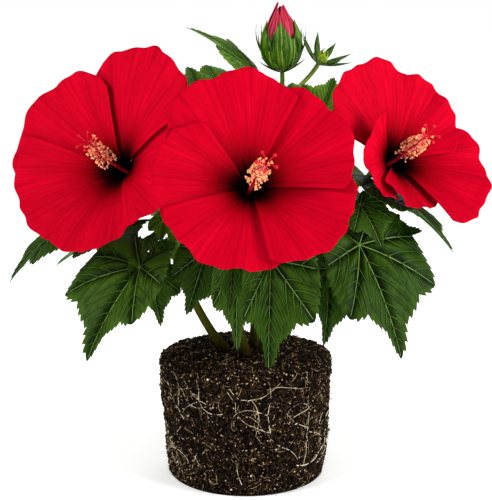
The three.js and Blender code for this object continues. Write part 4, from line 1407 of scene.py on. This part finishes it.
def vein(start, angle, length, thick, bow):
    """A vein from a point, at an angle, that bends by bow degrees; its width is for a 100 mm leaf."""
    u = np.linspace(0, 1, 9)
    turns = np.radians(angle + bow * u)
    steps = length / 8 * np.stack([np.cos(turns), np.sin(turns)], axis=-1)
    points = start + np.concatenate([[[0, 0]], np.cumsum(steps[:-1], axis=0)])
    return points, thick * (1 - 0.6 * u)


def rim_share(point):
    """How far out towards the rim a point is: 1 on the rim."""
    angle = math.degrees(math.atan2(abs(point[1]), point[0]))
    return np.linalg.norm(point) / np.interp(angle, [a for a, r in OUTLINE], [r for a, r in OUTLINE])


def vein_pattern():
    main, sides = [], []
    for side in (1, -1):
        for angle, reach in FINGERS:
            if angle or side == 1:
                main.append(vein((0, 0), side * angle, reach, 0.66, 0))
            for share in FINGER_SIDES[angle]:
                for turn in (SIDE_VEIN_TURN, -SIDE_VEIN_TURN):
                    if not angle and turn < 0:
                        continue
                    start = share * direction(side * angle, 0)[:2]
                    heading = side * (angle + turn)
                    length = 0.04
                    while rim_share(start + length * direction(heading, 0)[:2]) < 0.93 and length < 0.36:
                        length += 0.01
                    sides.append(vein(start, heading, length, 0.36, -side * math.copysign(16, turn)))
    return main, sides


MAIN_VEINS, SIDE_VEINS = vein_pattern()


def pattern_points():
    """The blade's points from the joint out, and the share of each."""
    points, shares = [np.zeros((1, 2))], [np.zeros(1)]
    for share in RINGS:
        teeth = smooth((share - 0.82) / 0.18)
        points.append(share * (PLAIN_RIM + teeth * (TOOTHED_RIM - PLAIN_RIM)))
        shares.append(np.full(RIM, share))
    return np.concatenate(points), np.concatenate(shares)


def dots_on(veins):
    """Points close together along veins."""
    return np.concatenate([bezier(line[[0, 4, 8]], np.linspace(0, 1, 60)) for line, thick in veins])


FLAT, SHARES = pattern_points()
MAIN_DOTS = dots_on(MAIN_VEINS)
TO_MAIN, TO_SIDE = [
    np.array([np.linalg.norm(dots - point, axis=-1).min() for point in FLAT])
    for dots in (MAIN_DOTS, dots_on(SIDE_VEINS))
]
print("points in a leaf's pattern:", len(FLAT), "- veins:", len(MAIN_VEINS) + len(SIDE_VEINS))

# %% [markdown]
# The blade's tissue is a deep green with a soft waxy shine, paler and duller below. Young leaves are a
# fresher green, so each leaf gets one of three greens; two leaves under the blooms get the deep green as
# painted shade. Shade and light are also painted on every blade: each point carries how far it puffs up, as
# an attribute named puff, and the green reads it, darker in the furrows over the veins as painted shade and
# lighter on the puffs as painted light. The veins are light and stand out. Fine quilting between them is
# bump, because it is under a millimetre.

# %% Greens, veins and stalks
QUILT = 1.6  # how far a blade puffs up between main veins, in millimetres on a leaf of 100
SIDE_QUILT = 3
MAIN_WIDTH = 0.035  # the width of the furrow over a main vein, as a share of the length
SIDE_WIDTH = 0.045
CELL = 3.6
BLADE_THICKNESS = 0.5
VEIN_LIFT = 0.4
SIDE_VEIN_LIFT = 0.5


def quilting(tree):
    uv = add(tree, "ShaderNodeTexCoord").outputs["UV"]
    values = {"Scale": 100 / CELL}
    cells = add(tree, "ShaderNodeTexVoronoi", values, {"Vector": uv}, feature="SMOOTH_F1").outputs["Distance"]
    return add(tree, "ShaderNodeMath", {1: -1.0}, {0: cells}, operation="MULTIPLY").outputs[0], 0.6


def furrow_shade_and_patches(tree):
    """Painted shade and light: 0, shaded, in the furrows over the veins, to 1, lit, on the puffs; a little
    uneven.
    """
    puff = add(tree, "ShaderNodeAttribute", attribute_name="puff").outputs["Fac"]
    uneven = {1: 0.35, 2: 0.65, 3: -0.2, 4: 0.2}
    patches = add(tree, "ShaderNodeMapRange", uneven, {0: grain(tree, 16, 3)}).outputs[0]
    return add(tree, "ShaderNodeMath", links={0: puff, 1: patches}, operation="ADD").outputs[0]


# dark is the painted shade of the furrows, light the painted light of the puffs between the veins
def leaf_green(name, dark, light, roughness):
    return finish(
        name,
        lambda tree: tinted(tree, furrow_shade_and_patches(tree), (0.1, dark), (0.95, light)),
        quilting,
        roughness=roughness,
        specular_ior_level=0.05,
    )


GREENS = [
    leaf_green("leaf_deep_green", "#081601", "#2a4408", 0.5),
    leaf_green("leaf_green", "#0d2001", "#344f0e", 0.5),
    leaf_green("leaf_young_green", "#1c3c04", "#587e20", 0.5),
]
UNDERSIDE = leaf_green("leaf_underside", "#48662e", "#708e52", 0.65)
VEIN = dull("leaf_main_vein", "#54782a", "#7a9a48", 12, 0.5)
SIDE_VEIN = dull("leaf_side_vein", "#33570f", "#4c7224", 12, 0.5)
STALK = dull("leaf_stalk", "#5b7426", "#86a046", 14, 0.45)


def ripple(leaf, flat, share):
    """The waves of a leaf's margin, in millimetres."""
    angle = np.arctan2(flat[..., 1], flat[..., 0])
    long_wave = np.sin(5 * angle + leaf["phase"]) * 0.02
    short_wave = np.sin(13 * angle + 2.3 * leaf["phase"]) * 0.006
    return (long_wave + short_wave) * leaf["length"] * share**3


def puffed(height, distance, width):
    """How far the blade puffs up at a distance from a vein."""
    return height * (1 - np.exp(-((distance / width) ** 2)))


# Painted shade in the furrows over the veins and painted light on the puffs, which the greens read as puff
FURROW_SHADE = puffed(1, TO_MAIN, 0.05) * (0.42 + puffed(0.58, TO_SIDE, 0.026))


def leaf_points(leaf, offset):
    puff = puffed(1, TO_MAIN, MAIN_WIDTH) * (QUILT + puffed(SIDE_QUILT, TO_SIDE, SIDE_WIDTH))
    puff = puff * leaf["length"] / 100 * (1 - SHARES**6)
    return lay(leaf, FLAT, puff + ripple(leaf, FLAT, SHARES) + offset * (1 - 0.6 * SHARES))


def leaf_faces():
    """The top's faces, from a fan round the joint outwards, then the underside's and the rim's."""
    count = len(FLAT)
    top = [(0, 1 + i, 1 + (i + 1) % RIM) for i in range(RIM)]
    for ring in range(len(RINGS) - 1):
        for i in range(RIM):
            a, b = 1 + ring * RIM + i, 1 + ring * RIM + (i + 1) % RIM
            top.append((a, a + RIM, b + RIM, b))
    under = [tuple(i + count for i in (face[0], *face[:0:-1])) for face in top]
    last = 1 + (len(RINGS) - 1) * RIM
    pairs = [(last + i, last + (i + 1) % RIM) for i in range(RIM)]
    return top, under + [(a, a + count, b + count, b) for a, b in pairs]


TOP_FACES, OTHER_FACES = leaf_faces()


def add_leaf(heap, leaf):
    points = np.concatenate([leaf_points(leaf, side * BLADE_THICKNESS / 2) for side in (1, -1)])
    kinds = [leaf["green"]] * len(TOP_FACES) + [len(GREENS)] * len(OTHER_FACES)
    uv = np.concatenate([FLAT, FLAT]) * leaf["length"] / 100
    heap.add(points, TOP_FACES + OTHER_FACES, kinds, uv)


def leaf_veins(leaf):
    size = leaf["length"] / 100
    made = []
    for number, (flat, thick) in enumerate(MAIN_VEINS + SIDE_VEINS):
        share = np.array([rim_share(point) for point in flat])
        lift = ripple(leaf, flat, share) + VEIN_LIFT * size
        if number >= len(MAIN_VEINS):
            far = np.linalg.norm(flat[:, None] - MAIN_DOTS[None], axis=-1).min(axis=1)
            lift = lift + (puffed(QUILT, far, MAIN_WIDTH) * (1 - share**6) + SIDE_VEIN_LIFT) * size
        made.append((lay(leaf, flat, lift), thick * size**0.5))
    return made[: len(MAIN_VEINS)], made[len(MAIN_VEINS) :]


# %% [markdown]
# ## Small young leaves
# Between the grown leaves sit small young ones, too fine for the solid model. They come from the same rule
# with less reach and length, and need less room.

# %% Young leaves, and every leaf's green and wave; the deep green of two leaves is painted shade
SHADE_PAINTED_LEAVES = 3, 7  # the rows of the list above that get the deep green as painted shade, where the blooms shade them
YOUNG_LEAVES = 26
YOUNG_ROOM = 6
YOUNG_LENGTH = (20, 20)
YOUNG_REACH = (10, 16)
YOUNG_FROM = 345  # a leaf whose joint is higher than this is still young
MID_GREEN = 0.62  # the share of the others that are mid green, not deep
draw = seeded(90)
grown_count = len(LEAVES)
for k in range(YOUNG_LEAVES):
    for stem in STEMS:
        root = bezier(STEMS[stem], 0.4 + 0.5 * draw())
        bearing = 360 * draw()
        joint = root + direction(bearing, 35) * (YOUNG_REACH[0] + YOUNG_REACH[1] * draw())
        length = YOUNG_LENGTH[0] + YOUNG_LENGTH[1] * draw()
        leaf = make_leaf(stem, joint, length, bearing, 10 + 30 * draw(), bearing)
        spread = samples(leaf)
        if has_room(stem, spread, YOUNG_ROOM, YOUNG_ROOM):
            keep_leaf(leaf, spread)
for number, leaf in enumerate(LEAVES):
    leaf["phase"] = 2 * math.pi * draw()
    is_young = number >= grown_count or leaf["joint"][2] > YOUNG_FROM
    # The leaves that the blooms shade get the deep green, as painted shade.
    leaf["green"] = 2 if is_young else int(number not in SHADE_PAINTED_LEAVES and draw() < MID_GREEN)
print("young leaves:", len(LEAVES) - grown_count)

# %% [markdown]
# Each stem now gets its limb, and its leaves are gathered in pieces: blades, veins and stalks. A stalk
# swells where it meets the stem and the blade.

# %% Stems, stalks, blades and veins
PETIOLE_RADIUS = 1.3
SIDE_TWIG_RADIUS = 2.3


def stalk_limb(leaf):
    u = np.linspace(0, 1, 13)
    slim = min(1, leaf["length"] / 60)
    foot = 0.35 * np.exp(-((u / 0.08) ** 2))
    head = 0.25 * np.exp(-(((1 - u) / 0.06) ** 2))
    return stalk_points(leaf, u), PETIOLE_RADIUS * slim * (1.1 - 0.3 * u + foot + head)


def side_bud_twig():
    bud = BUDS["side"]
    start = bezier(STEMS["bud"], 0.86)
    points = bezier([start, bud["base"] - 16 * bud["axis"], bud["base"]], np.linspace(0, 1, 14))
    return points, SIDE_TWIG_RADIUS


for stem, curve in STEMS.items():
    own = [leaf for leaf in LEAVES if leaf["stem"] == stem]
    u = np.linspace(0, 1, 110)
    swell = sum(0.9 * np.exp(-(((u - leaf["share"]) / 0.012) ** 2)) for leaf in own)
    stem_mesh = limbs([(bezier(curve, u), stem_radius(u) + swell)], STEM, sides=20, relief=0.5, grain_size=5)
    hand_over("green_stem_" + stem, stem_mesh, "green_stem", "stem_" + stem)
    blades = Heap()
    for leaf in own:
        add_leaf(blades, leaf)
    blades = blades.mesh("blades", GREENS + [UNDERSIDE])
    # The painted furrow shade and puff light go on the blades as the attribute puff
    puff = blades.attributes.new("puff", "FLOAT", "POINT")
    puff.data.foreach_set("value", np.tile(FURROW_SHADE, 2 * len(own)).astype(np.float32))
    hand_over("leaves_" + stem, blades, "leaf", "foliage_" + stem)
    main, sides = [sum(kind, []) for kind in zip(*[leaf_veins(leaf) for leaf in own])]
    veins = joined([limbs(main, VEIN, sides=5), limbs(sides, SIDE_VEIN, sides=4)])
    hand_over("leaf_veins_" + stem, veins, "leaf", "foliage_" + stem)
    stalks = [stalk_limb(leaf) for leaf in own] + ([side_bud_twig()] if stem == "bud" else [])
    hand_over("leaf_stalks_" + stem, limbs(stalks, STALK, sides=10, relief=0.15), "leaf", "foliage_" + stem)
